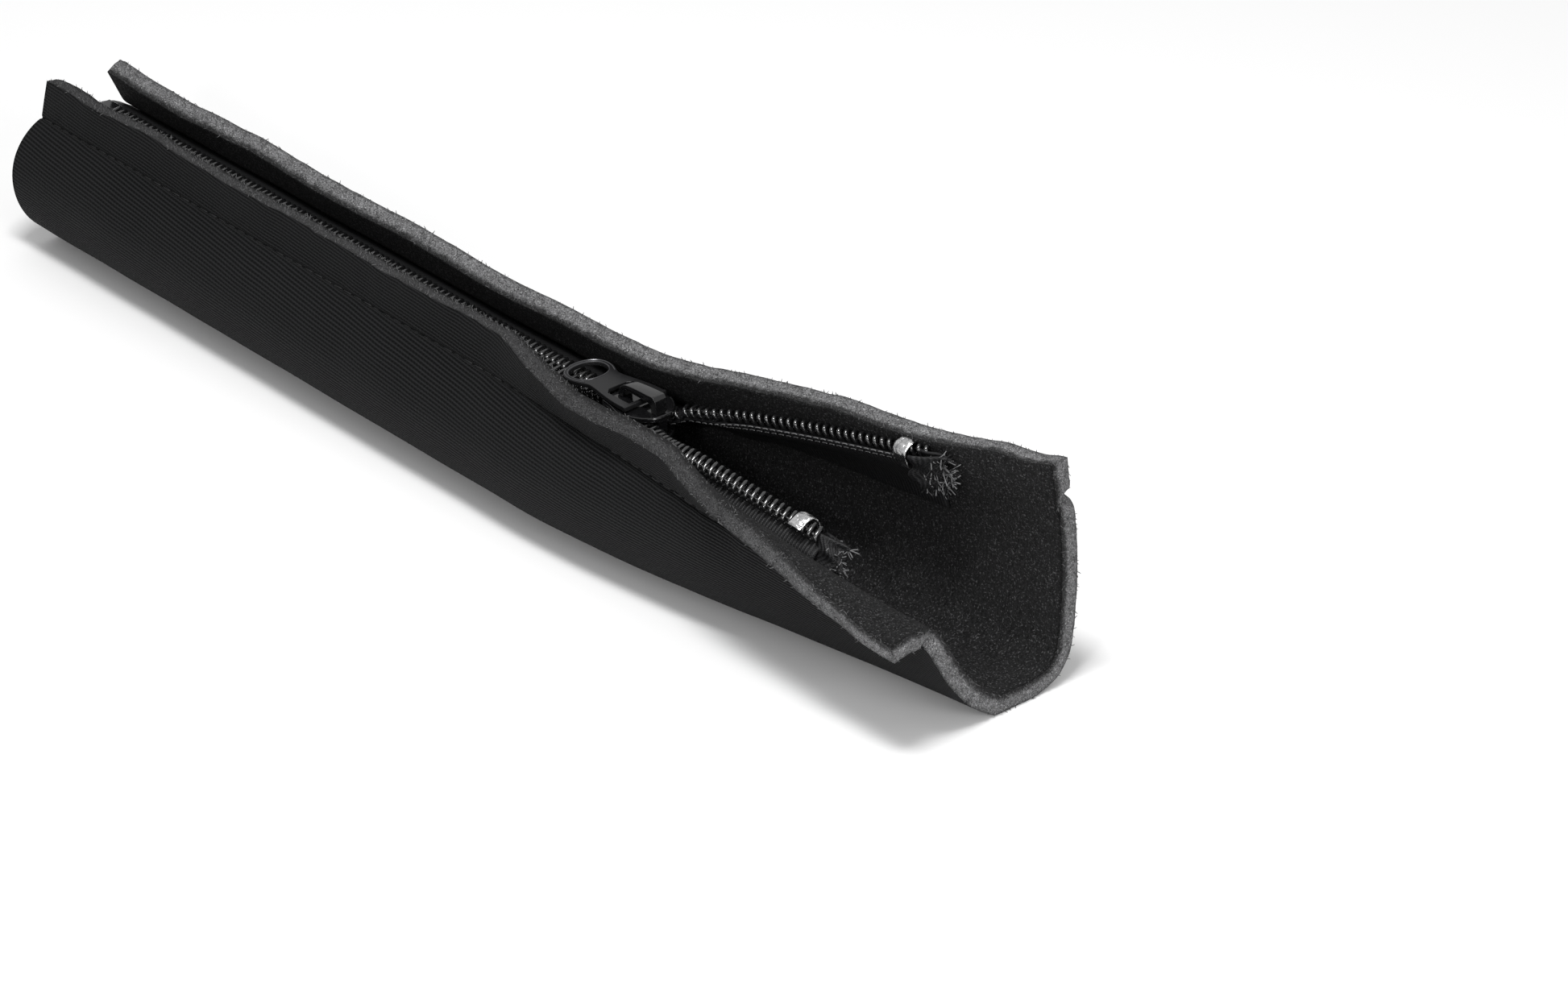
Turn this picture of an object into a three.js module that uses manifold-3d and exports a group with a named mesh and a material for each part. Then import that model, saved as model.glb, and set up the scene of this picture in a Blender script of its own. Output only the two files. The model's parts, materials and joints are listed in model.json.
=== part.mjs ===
// Zippered cable sleeve: one cut sheet of foam laminate rolled into a tube, closed along its top
// by a coil zipper, and part open at the mouth.
// Millimetres, +Z up, +X towards the open mouth. The origin is on the resting face, under the
// chain, at the middle of the sleeve's length.
import * as THREE from 'three';
import Module from 'manifold-3d';
import { mergeVertices } from 'three/addons/utils/BufferGeometryUtils.js';

const wasm = await Module();
wasm.setup();

// Sheet
const SLEEVE_LENGTH = 240;
const SHEET_THICKNESS = 3.5;
const SHEET_WIDTH = 86; // flat, at mid thickness
const NEAR_SHARE = 0.5; // extra sheet on the near side of the resting line
const FLAT_SPOT = 2.5; // half the width that lies flat on the ground
const SEAM_ALLOWANCE = 8; // from the stitch row to the raw edge
const SEAM_BEND = 1.25; // half the length over which the sheet turns at a stitch row
const SHOULDER_TURN = 68; // degrees past upright where the closed wall reaches the stitch row
const UPRIGHT = 90; // degrees
const NEAR_LIP_LEAN = 104;
const FAR_LIP_LEAN = 118;
const RIPPLE_ANGLE = 2.2; // degrees that the raw edges sway
const RIPPLE_LENGTH = 46;
const NEAR_RIPPLE_PHASE = 0.6; // radians
const FAR_RIPPLE_PHASE = 2.4;

// Mouth: how the sheet lies where the zipper is open. Bends are [share of the wall, heading].
const MOUTH_SHIFT = 11.5; // the resting line moves to the far side
const MOUTH_ROLL = 7; // and this much of the sheet rolls over with it
const FAR_MOUTH = { bends: [[0.15, 14], [0.34, 84], [0.66, 90]], below: 100, above: 108, lip: 94 };
const NEAR_MOUTH = { bends: [[0.16, 28], [0.4, 48], [0.72, 60]], below: 60, above: 16, lip: -14 };
const FAR_LEAD = 50; // how far behind the slider's nose each movement begins
const NEAR_LEAD = 44;
const SHIFT_LEAD = 25;
const FAR_EASE = 0.6; // 1 levels out at the mouth, less keeps on opening
const FAR_EDGE_WAVE = 1.3; // the free edge on the far side rises and dips this much
const FAR_WAVE_CREST = 62; // where it is highest
const FAR_WAVE_LENGTH = 78;
const NEAR_EASE = 0.93;
const SHIFT_EASE = 0.76;

// Zipper
const COIL_PITCH = 1.5;
const COIL_WIDTH = 3.3;
const COIL_HEIGHT = 2.2;
const WIRE = 0.62;
const HEAD_OVERLAP = 0.45; // how far the loop heads pass the chain's centre line
const COIL_SEAT = 0.2; // between coil and tape
const TAPE_THICKNESS = 0.5;
const TAPE_EDGE = 1.1; // from the centre line to the tape's inner edge
const TAPE_SEWN = 5; // width of tape that lies along the wall under the stitch row
const TAPE_ABOVE_SEAM = 0.15;
const WALL_GAP = 0.3;
// Where a strand is free: how far it reaches from the wall at the stitch row, how steeply in
// degrees above level, how far it stands off that line, and where its stop is past the nose
const NEAR_FREE = { reach: 4.4, rise: 27, off: 0, end: 40 };
const FAR_FREE = { reach: 5, rise: 66, off: 2.3, end: 44.5 };
const FREE_RUN = 15; // over this length past the nose the strand comes to hang from its stitch row
const SPREAD_SLOPE = 0.2; // how fast it moves out there
const CLOSED_END_MARGIN = 3; // from the sleeve's cut end to the bottom stop
const LOOSE_LOOPS = 2; // loops past each top stop
const TAPE_PAST_STOP = 7;

// Slider
const NOSE_FROM_MOUTH = 74.5;
const SLIDER_LENGTH = 12;
const SHOULDER_HALF = 5.2;
const REAR_HALF = 4.2;
const SHOULDER_FROM_NOSE = 4.2;
const NOSE_HALF = 1.5;
const RIDGES = 3; // across the nose
const RIDGE_PITCH = 0.33;
const RIDGE_PROUD = 0.22;
const PLATE = 0.7;
const RIM_HEIGHT = 0.25;
const RIM_WIDTH = 0.55;
const FLANGE = 0.8;
const WEDGE_LENGTH = 5.2;
const WEDGE_HALF = 0.7;
const FRONT_SPREAD = 1.6; // how far each strand has moved out at the slider's mouths
const RUNNING_GAP = 0.25;
const LIP_CLEARANCE = 0.45; // between the pull's sides and the raw edges, at the ripple's crests

// Crown, spring and pull
const CROWN_WIDTH = 2.6;
const CROWN_LENGTH = 10.2;
const CROWN_REAR_HEIGHT = 2.4;
const CROWN_FRONT_HEIGHT = 3.3;
const CROWN_FOOT = 1.5;
const SPRING_THICKNESS = 0.25;
const PIVOT_FROM_NOSE = 5.4;
const PULL_THICKNESS = 0.8;
const PULL_SLOPE = 2.2; // degrees that it lies down towards the chain
const PULL_LENGTH = 18.4; // pivot to the ring's end
const PULL_HALF = 4.6;
const WAIST_HALF = 3.6;
const WAIST_FROM_RING = 4; // from the ring's centre
const ARM_LENGTH = 2; // straight part beside the crossbar
const RING_WIDTH = 1.25;
const RING_HOLE_LENGTH = 4.9;
const WINDOW_LENGTH = 6.5;
const WINDOW_HALF = 2.9;

// Stops
const STOP_LENGTH = 3;
const STOP_WALL = 0.4;
const BOTTOM_STOP_LENGTH = 4;
const BOTTOM_STOP_HEIGHT = 1.4;

// Fineness
const WALL_STEPS = 19; // faces from the resting line to each raw edge
const STATIONS = 30;
const TAPE_STATION = 3;
const TRACE_STEP = 0.25; // arc between the points that the wall is worked out at

const halfLength = SLEEVE_LENGTH / 2;
const noseX = halfLength - NOSE_FROM_MOUTH;
const rad = THREE.MathUtils.degToRad;

// Runs from 0 at the start of a movement to 1 at the mouth
function opening(x, lead, ease) {
  const u = THREE.MathUtils.clamp((x - (noseX - lead)) / (NOSE_FROM_MOUTH + lead), 0, 1.2);
  const smooth = (v) => v * v * (3 - 2 * v);
  return smooth(Math.min(u * ease, 1)) / smooth(ease);
}

// The closed wall: flat spot, round belly up to the hip, then a tighter turn in to the stitch row,
// and the raw edge leaning inwards above it. The raw edge keeps clear of the pull, which sets how
// far out the stitch row is, and the belly's radius follows from that.
const shoulderShare = (1 - Math.cos(rad(SHOULDER_TURN))) / rad(SHOULDER_TURN);

function closedSide(lean, sign) {
  const wallLength = SHEET_WIDTH / 2 - sign * NEAR_SHARE - SEAM_ALLOWANCE;
  const edge = PULL_HALF + LIP_CLEARANCE + SEAM_ALLOWANCE * Math.sin(rad(RIPPLE_ANGLE));
  const bend = rad((UPRIGHT + SHOULDER_TURN) / 4 + (3 * lean) / 4);
  const leanIn = -(SEAM_ALLOWANCE - SEAM_BEND) * Math.cos(rad(lean)) - SEAM_BEND * Math.cos(bend);
  const lateral = edge + (SHEET_THICKNESS / 2) * Math.sin(rad(lean)) + leanIn;
  const hip = lateral - FLAT_SPOT + shoulderShare * (wallLength - FLAT_SPOT);
  const radius = hip / (1 + (shoulderShare * Math.PI) / 2);
  const hipArc = FLAT_SPOT + (radius * Math.PI) / 2;
  return { bends: [[hipArc / wallLength, UPRIGHT]], below: UPRIGHT + SHOULDER_TURN, above: lean, lip: lean };
}

const SIDES = {
  near: {
    sign: -1,
    closed: closedSide(NEAR_LIP_LEAN, -1),
    mouth: NEAR_MOUTH,
    lead: NEAR_LEAD,
    ease: NEAR_EASE,
    phase: NEAR_RIPPLE_PHASE,
  },
  far: {
    sign: 1,
    closed: closedSide(FAR_LIP_LEAN, 1),
    mouth: FAR_MOUTH,
    lead: FAR_LEAD,
    ease: FAR_EASE,
    phase: FAR_RIPPLE_PHASE,
  },
};

// Heading of one side's wall at arc s from the resting line, in degrees from level, outwards
function heading(s, length, shape) {
  const wall = length - SEAM_ALLOWANCE;
  const knots = [[0, 0], [FLAT_SPOT, 0], ...shape.bends.map(([share, angle]) => [share * wall, angle])];
  knots.push([wall - SEAM_BEND, shape.below], [wall + SEAM_BEND, shape.above], [length, shape.lip]);
  let i = 1;
  while (i < knots.length - 1 && s > knots[i][0]) i += 1;
  const [s0, a0] = knots[i - 1];
  const [s1, a1] = knots[i];
  return THREE.MathUtils.lerp(a0, a1, THREE.MathUtils.clamp((s - s0) / (s1 - s0), 0, 1));
}

// One side of the cross-section at x: a list of { s, y, z, ny, nz } at mid thickness, with the
// outward normal, from the resting line to the raw edge
function traceSide(x, name) {
  const side = SIDES[name];
  const shift = opening(x, SHIFT_LEAD, SHIFT_EASE);
  const open = opening(x, side.lead, side.ease);
  const crest = Math.cos((2 * Math.PI * (x - FAR_WAVE_CREST)) / FAR_WAVE_LENGTH);
  const wave = name === 'far' ? FAR_EDGE_WAVE * Math.min(1, 2 * open) * crest : 0;
  const length = SHEET_WIDTH / 2 + side.sign * (MOUTH_ROLL * shift - NEAR_SHARE) + wave;
  const sway = RIPPLE_ANGLE * Math.sin((2 * Math.PI * x) / RIPPLE_LENGTH + side.phase);
  const steps = Math.round(length / TRACE_STEP);
  const step = length / steps;
  const points = [];
  let y = MOUTH_SHIFT * shift;
  let z = SHEET_THICKNESS / 2;
  let last = 0;
  for (let i = 0; i <= steps; i += 1) {
    const s = i * step;
    const past = THREE.MathUtils.clamp((s - length + SEAM_ALLOWANCE) / SEAM_BEND, 0, 1);
    const angle =
      THREE.MathUtils.lerp(heading(s, length, side.closed), heading(s, length, side.mouth), open) + sway * past;
    const mean = rad((angle + last) / 2);
    if (i > 0) {
      y += side.sign * Math.cos(mean) * step;
      z += Math.sin(mean) * step;
    }
    last = angle;
    points.push({ s, y, z, ny: side.sign * Math.sin(rad(angle)), nz: -Math.cos(rad(angle)) });
  }
  return { points, length, step };
}

function wallPoint(trace, s, offset) {
  const p = trace.points[Math.round(THREE.MathUtils.clamp(s, 0, trace.length) / trace.step)];
  return new THREE.Vector2(p.y + p.ny * offset, p.z + p.nz * offset);
}

// Arc lengths where the sheet's faces meet, from the edge of the flat spot, closer together round
// the stitch row
function wallCuts(length) {
  const wall = length - SEAM_ALLOWANCE;
  const lipCuts = [wall - SEAM_BEND, wall, wall + SEAM_BEND, length - SEAM_ALLOWANCE / 3, length];
  const plain = WALL_STEPS - lipCuts.length;
  const step = (wall - SEAM_BEND - FLAT_SPOT) / plain;
  return [...Array.from({ length: plain }, (_, i) => FLAT_SPOT + i * step), ...lipCuts];
}

// A closed solid through sections of equal length, each a loop of [x, y, z] points
function loftSolid(loops) {
  const count = loops[0].length;
  const positions = loops.flat(2);
  const index = [];
  for (let i = 0; i < loops.length - 1; i += 1) {
    for (let j = 0; j < count; j += 1) {
      const a = i * count + j;
      const b = i * count + ((j + 1) % count);
      index.push(a, a + count, b, b, a + count, b + count);
    }
  }
  // End caps are strips between the two faces of the slab
  const last = (loops.length - 1) * count;
  for (let j = 0; j < count / 2 - 1; j += 1) {
    const k = count - 1 - j;
    index.push(j, j + 1, k, j + 1, k - 1, k);
    index.push(last + j, last + k, last + j + 1, last + j + 1, last + k, last + k - 1);
  }
  const geometry = new THREE.BufferGeometry();
  geometry.setAttribute('position', new THREE.Float32BufferAttribute(positions, 3));
  geometry.setIndex(index);
  return outward(geometry);
}

function outward(geometry) {
  const position = geometry.getAttribute('position');
  const index = geometry.getIndex();
  const [a, b, c] = [new THREE.Vector3(), new THREE.Vector3(), new THREE.Vector3()];
  let volume = 0;
  for (let i = 0; i < index.count; i += 3) {
    a.fromBufferAttribute(position, index.getX(i));
    b.fromBufferAttribute(position, index.getX(i + 1));
    c.fromBufferAttribute(position, index.getX(i + 2));
    volume += a.dot(b.cross(c));
  }
  if (volume < 0) {
    for (let i = 0; i < index.count; i += 3) {
      const keep = index.getX(i);
      index.setX(i, index.getX(i + 1));
      index.setX(i + 1, keep);
    }
  }
  geometry.computeVertexNormals();
  return geometry;
}

function toManifold(geometry) {
  const merged = mergeVertices(bareOf(geometry), 1e-4);
  const vertProperties = new Float32Array(merged.getAttribute('position').array);
  const triVerts = new Uint32Array(merged.getIndex().array);
  return new wasm.Manifold(new wasm.Mesh({ numProp: 3, vertProperties, triVerts }));
}

function fromManifold(solid) {
  const { vertProperties, triVerts } = solid.getMesh();
  const geometry = new THREE.BufferGeometry();
  geometry.setAttribute('position', new THREE.BufferAttribute(new Float32Array(vertProperties), 3));
  geometry.setIndex(new THREE.BufferAttribute(new Uint32Array(triVerts), 1));
  geometry.computeVertexNormals();
  return geometry;
}

// A flat outline in X and Y, raised from z0 to z1
function raised(shape, z0, z1, curveSegments = 5) {
  const geometry = new THREE.ExtrudeGeometry(shape, { depth: z1 - z0, bevelEnabled: false, curveSegments });
  return geometry.translate(0, 0, z0);
}

// An outline in X and Z, given thickness in Y about the middle plane
function standing(shape, width, curveSegments = 4) {
  const geometry = new THREE.ExtrudeGeometry(shape, { depth: width, bevelEnabled: false, curveSegments });
  return geometry.rotateX(Math.PI / 2).translate(0, width / 2, 0);
}

function box(x0, x1, y0, y1, z0, z1) {
  const block = new THREE.BoxGeometry(x1 - x0, y1 - y0, z1 - z0);
  return block.translate((x0 + x1) / 2, (y0 + y1) / 2, (z0 + z1) / 2);
}

const stationX = Array.from({ length: STATIONS + 1 }, (_, i) => -halfLength + (i * SLEEVE_LENGTH) / STATIONS);

function sleevePanel() {
  const loops = stationX.map((x) => {
    const sides = ['far', 'near'].map((name) => {
      const trace = traceSide(x, name);
      const faces = [-SHEET_THICKNESS / 2, SHEET_THICKNESS / 2];
      return wallCuts(trace.length).map((s) => faces.map((offset) => wallPoint(trace, s, offset)));
    });
    const row = [...sides[0].reverse(), ...sides[1]];
    const inner = row.map(([p]) => [x, p.x, p.y]);
    const outer = row.map(([, p]) => [x, p.x, p.y]);
    return [...inner, ...outer.reverse()];
  });
  return loftSolid(loops);
}

// Heights in the closed part, all set by the stitch rows
function stitchRow(x, name, offset) {
  const trace = traceSide(x, name);
  return wallPoint(trace, trace.length - SEAM_ALLOWANCE, offset);
}

const seamHeight = (stitchRow(-halfLength, 'near', 0).y + stitchRow(-halfLength, 'far', 0).y) / 2;
const tapeMid = seamHeight + TAPE_ABOVE_SEAM;
const coilMid = tapeMid + TAPE_THICKNESS / 2 + COIL_SEAT + COIL_HEIGHT / 2;
const coilTop = coilMid + COIL_HEIGHT / 2;
const plateBottom = coilTop + RUNNING_GAP;
const plateTop = plateBottom + PLATE;
const baseTop = tapeMid - TAPE_THICKNESS / 2 - RUNNING_GAP;
const coilLateral = COIL_WIDTH / 2 - HEAD_OVERLAP;
const closedEndX = -halfLength + CLOSED_END_MARGIN;
const strandStart = closedEndX + BOTTOM_STOP_LENGTH + RUNNING_GAP;
const strandEnd = { near: noseX + NEAR_FREE.end, far: noseX + FAR_FREE.end };
const wedgeRear = noseX - WEDGE_LENGTH;

// Middle of one strand at x, with the direction from it along its tape and the way up from the tape
function strandAt(x, name) {
  const { sign } = SIDES[name];
  const { reach, rise, off } = name === 'near' ? NEAR_FREE : FAR_FREE;
  const trace = traceSide(x, name);
  const seam = wallPoint(trace, trace.length - SEAM_ALLOWANCE, -SHEET_THICKNESS / 2);
  const spread = THREE.MathUtils.smoothstep(x, noseX - SLIDER_LENGTH, noseX - 1) * FRONT_SPREAD;
  const run = Math.max(0, x - noseX) * SPREAD_SLOPE;
  const guided = new THREE.Vector2(sign * (coilLateral + spread + run), coilMid);
  const slope = new THREE.Vector2(-sign * Math.cos(rad(rise)), Math.sin(rad(rise)));
  const aside = new THREE.Vector2(-sign * slope.y, sign * slope.x).multiplyScalar(off);
  const hung = slope.clone().multiplyScalar(reach).add(aside).add(seam);
  const free = THREE.MathUtils.smoothstep(x, noseX - 1, noseX + FREE_RUN);
  const middle = guided.clone().lerp(hung, free);
  const level = new THREE.Vector2(sign, 0);
  const along = level.lerp(slope.clone().negate(), free).normalize();
  const up = new THREE.Vector2(-along.y, along.x).multiplyScalar(sign);
  return { middle, along, up, trace, free };
}

// One zip tape: under the coil, out to the wall, and down along it under the stitch row
function zipTape(name) {
  const { sign } = SIDES[name];
  const end = strandEnd[name] + STOP_LENGTH + TAPE_PAST_STOP;
  const rear = noseX - SLIDER_LENGTH;
  const fine = Math.ceil((end - rear) / TAPE_STATION);
  const stations = stationX.filter((x) => x < rear - TAPE_STATION);
  for (let i = 0; i <= fine; i += 1) stations.push(THREE.MathUtils.lerp(rear, end, i / fine));
  const loops = stations.map((x) => {
    const { middle, along, up, trace, free } = strandAt(x, name);
    const drop = COIL_HEIGHT / 2 + COIL_SEAT + TAPE_THICKNESS / 2;
    const onTape = (u) => middle.clone().addScaledVector(along, u).addScaledVector(up, -drop);
    const guided = SHOULDER_HALF + RUNNING_GAP - coilLateral;
    const flat = THREE.MathUtils.lerp(guided, COIL_WIDTH / 2 + RUNNING_GAP, free);
    const off = -(SHEET_THICKNESS / 2 + WALL_GAP + TAPE_THICKNESS / 2);
    const seam = trace.length - SEAM_ALLOWANCE;
    const line = [
      onTape(TAPE_EDGE - coilLateral),
      onTape(flat),
      wallPoint(trace, seam - SEAM_BEND, off),
      wallPoint(trace, seam - TAPE_SEWN, off),
    ];
    const faces = [1, -1].map((face) =>
      line.map((p, i) => {
        const before = line[Math.max(i - 1, 0)];
        const after = line[Math.min(i + 1, line.length - 1)];
        const run = after.clone().sub(before).normalize();
        const out = new THREE.Vector2(-run.y, run.x).multiplyScalar((sign * face * TAPE_THICKNESS) / 2);
        return [x, p.x + out.x, p.y + out.y];
      }),
    );
    return [...faces[0], ...faces[1].reverse()];
  });
  return loftSolid(loops);
}

// A closed wire of three-sided section through a list of { point, across, out } frames
function wireSolid(frames, half) {
  const corners = [[-1, -1], [1, -1], [0, 1.2]];
  const count = corners.length;
  const positions = frames.flatMap(({ point, across, out }) =>
    corners.flatMap(([a, b]) => {
      const p = point.clone().addScaledVector(across, a * half).addScaledVector(out, b * half);
      return [p.x, p.y, p.z];
    }),
  );
  const index = [];
  for (let i = 0; i < frames.length - 1; i += 1) {
    for (let j = 0; j < count; j += 1) {
      const a = i * count + j;
      const b = i * count + ((j + 1) % count);
      index.push(a, b, a + count, b, b + count, a + count);
    }
  }
  const last = (frames.length - 1) * count;
  for (let j = 1; j < count - 1; j += 1) {
    index.push(0, j + 1, j, last, last + j, last + j + 1);
  }
  const geometry = new THREE.BufferGeometry();
  geometry.setAttribute('position', new THREE.Float32BufferAttribute(positions, 3));
  geometry.setIndex(index);
  return outward(geometry);
}

// The nylon coil: each turn goes under, round the head, back over and down to the next turn. The
// far strand starts half a pitch later, so its heads lie between the near ones.
function coil(name) {
  const offset = name === 'far' ? COIL_PITCH / 2 : 0;
  const start = strandStart + WIRE + offset;
  const turns = Math.floor((strandEnd[name] + STOP_LENGTH + LOOSE_LOOPS * COIL_PITCH - start) / COIL_PITCH);
  const reach = (COIL_WIDTH - WIRE) / 2;
  const tall = (COIL_HEIGHT - WIRE) / 2;
  const lean = COIL_PITCH / 2 - WIRE / 2;
  // Along the chain, out along the tape, up from it, and which way the wire's ridge faces
  const loop = [
    [lean, reach, -tall, 1, -1],
    [0, -reach, -tall, -1, -1],
    [0, -reach, tall, -1, 1],
    [lean / 2, reach, tall, 1, 1],
  ];
  const frames = [];
  for (let i = 0; i < turns; i += 1) {
    for (const [dx, u, v, ru, rv] of loop) {
      const x = start + i * COIL_PITCH + dx - lean;
      const { middle, along, up } = strandAt(x, name);
      const p = middle.clone().addScaledVector(along, u).addScaledVector(up, v);
      const ridge = along.clone().multiplyScalar(ru).addScaledVector(up, rv).normalize();
      frames.push({
        point: new THREE.Vector3(x, p.x, p.y),
        across: new THREE.Vector3(1, 0, 0),
        out: new THREE.Vector3(0, ridge.x, ridge.y),
      });
    }
  }
  return wireSolid(frames, WIRE / 2);
}

const crownFront = noseX - RIM_WIDTH - RUNNING_GAP;
const crownRear = crownFront - CROWN_LENGTH;
const crownBase = plateTop + RUNNING_GAP / 3;
const pivotX = noseX - PIVOT_FROM_NOSE;
const pullDip = (SLIDER_LENGTH - PIVOT_FROM_NOSE) * Math.sin(rad(PULL_SLOPE));
const pivotZ = plateTop + PULL_THICKNESS / 2 + RUNNING_GAP / 2 + pullDip;
const springBottom = pivotZ + PULL_THICKNESS * 0.5 * Math.SQRT2 + RUNNING_GAP / 2;

// Plan of the slider, narrower at the rear, widest at the shoulders, round at the nose
function shieldOutline(inset = 0) {
  const shoulder = SHOULDER_HALF - inset;
  const rear = REAR_HALF - inset;
  const rearX = noseX - SLIDER_LENGTH + inset;
  const shoulderX = noseX - SHOULDER_FROM_NOSE;
  const nose = noseX - inset;
  const shape = new THREE.Shape();
  shape.moveTo(rearX, -rear + 1);
  shape.quadraticCurveTo(rearX, -rear, rearX + 1, -rear);
  shape.lineTo(shoulderX - 1.5, -shoulder);
  shape.bezierCurveTo(shoulderX + 1.2, -shoulder, nose - 0.6, -NOSE_HALF - 1.2, nose, -NOSE_HALF + inset);
  shape.lineTo(nose, NOSE_HALF - inset);
  shape.bezierCurveTo(nose - 0.6, NOSE_HALF + 1.2, shoulderX + 1.2, shoulder, shoulderX - 1.5, shoulder);
  shape.lineTo(rearX + 1, rear);
  shape.quadraticCurveTo(rearX, rear, rearX, rear - 1);
  return shape;
}

function flangeOutline(sign) {
  const rearX = noseX - SLIDER_LENGTH;
  const shoulderX = noseX - SHOULDER_FROM_NOSE;
  const shape = new THREE.Shape();
  shape.moveTo(rearX + 0.4, sign * (REAR_HALF - FLANGE));
  shape.lineTo(rearX + 1, sign * REAR_HALF);
  shape.lineTo(shoulderX - 1.5, sign * SHOULDER_HALF);
  shape.lineTo(shoulderX, sign * (SHOULDER_HALF - 0.15));
  shape.lineTo(shoulderX - 0.4, sign * (SHOULDER_HALF - FLANGE + 0.35));
  return shape;
}

function wedgeOutline() {
  const shape = new THREE.Shape();
  shape.moveTo(wedgeRear, 0);
  shape.bezierCurveTo(wedgeRear + 1.5, -WEDGE_HALF * 0.6, noseX - 2, -WEDGE_HALF, noseX - 0.2, -WEDGE_HALF);
  shape.lineTo(noseX - 0.2, WEDGE_HALF);
  shape.bezierCurveTo(noseX - 2, WEDGE_HALF, wedgeRear + 1.5, WEDGE_HALF * 0.6, wedgeRear, 0);
  return shape;
}

function sliderBody() {
  const overlap = 0.1;
  const topPlate = toManifold(raised(shieldOutline(), plateBottom, plateTop));
  const basePlate = toManifold(raised(shieldOutline(), baseTop - PLATE, baseTop));
  const wedge = toManifold(raised(wedgeOutline(), baseTop - overlap, plateBottom + overlap));
  // The rim runs round the front only, clear of the pull's crossbar
  const rimRear = pivotX + PULL_THICKNESS;
  const ahead = toManifold(box(rimRear, noseX + 1, -SHOULDER_HALF, SHOULDER_HALF, plateTop - 1, plateTop + 1));
  const rimOuter = toManifold(raised(shieldOutline(), plateTop - overlap, plateTop + RIM_HEIGHT));
  const rimInner = toManifold(raised(shieldOutline(RIM_WIDTH), plateTop - 2 * overlap, plateTop + 2 * RIM_HEIGHT));
  const rim = rimOuter.subtract(rimInner).intersect(ahead);
  const flangeBottom = tapeMid + TAPE_THICKNESS / 2 + RUNNING_GAP;
  let body = topPlate.add(basePlate).add(wedge).add(rim);
  for (const sign of [-1, 1]) {
    body = body.add(toManifold(raised(flangeOutline(sign), flangeBottom, plateBottom + overlap)));
  }
  // The ridged nose below the crown
  for (let i = 0; i < RIDGES; i += 1) {
    const z = plateTop - RIDGE_PITCH * (i + 0.3);
    const half = NOSE_HALF - RIDGE_PROUD;
    const front = noseX + RIDGE_PROUD - i * 0.05;
    body = body.add(toManifold(box(noseX - 0.6, front, -half, half, z - RIDGE_PITCH * 0.3, z + RIDGE_PITCH * 0.3)));
  }
  return fromManifold(body);
}

// Side view of the crown: a bridge over the pull's crossbar, highest at the front
function sliderCrown() {
  const archTop = springBottom + SPRING_THICKNESS + RUNNING_GAP / 2;
  const shape = new THREE.Shape();
  shape.moveTo(crownRear, crownBase);
  const back = plateTop + CROWN_REAR_HEIGHT;
  shape.bezierCurveTo(crownRear + 0.1, back - 0.75, crownRear + 0.6, back, crownRear + 2, back + 0.1);
  shape.lineTo(crownFront - 0.9, plateTop + CROWN_FRONT_HEIGHT);
  shape.lineTo(crownFront - 0.25, plateTop + CROWN_FRONT_HEIGHT - 0.45);
  shape.lineTo(crownFront, crownBase + 0.5);
  shape.lineTo(crownFront - 0.1, crownBase);
  shape.lineTo(crownFront - CROWN_FOOT, crownBase);
  shape.lineTo(crownFront - CROWN_FOOT, archTop - 0.4);
  shape.quadraticCurveTo(crownFront - CROWN_FOOT, archTop, crownFront - CROWN_FOOT - 0.4, archTop);
  shape.lineTo(crownRear + CROWN_FOOT + 0.4, archTop);
  shape.quadraticCurveTo(crownRear + CROWN_FOOT, archTop, crownRear + CROWN_FOOT, archTop - 0.4);
  shape.lineTo(crownRear + CROWN_FOOT, crownBase);
  return standing(shape, CROWN_WIDTH);
}

// The leaf spring under the crown, with its front end turned down over the wedge
function lockSpring() {
  const x0 = crownRear + CROWN_FOOT + RUNNING_GAP;
  const x1 = crownFront - CROWN_FOOT - RUNNING_GAP;
  const top = springBottom + SPRING_THICKNESS;
  const shape = new THREE.Shape();
  shape.moveTo(x0, springBottom);
  shape.lineTo(x1 - SPRING_THICKNESS, springBottom);
  shape.lineTo(x1 - SPRING_THICKNESS, crownBase + RUNNING_GAP);
  shape.lineTo(x1, crownBase + RUNNING_GAP);
  shape.lineTo(x1, top);
  shape.lineTo(x0, top);
  return standing(shape, CROWN_WIDTH * 0.6);
}

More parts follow.
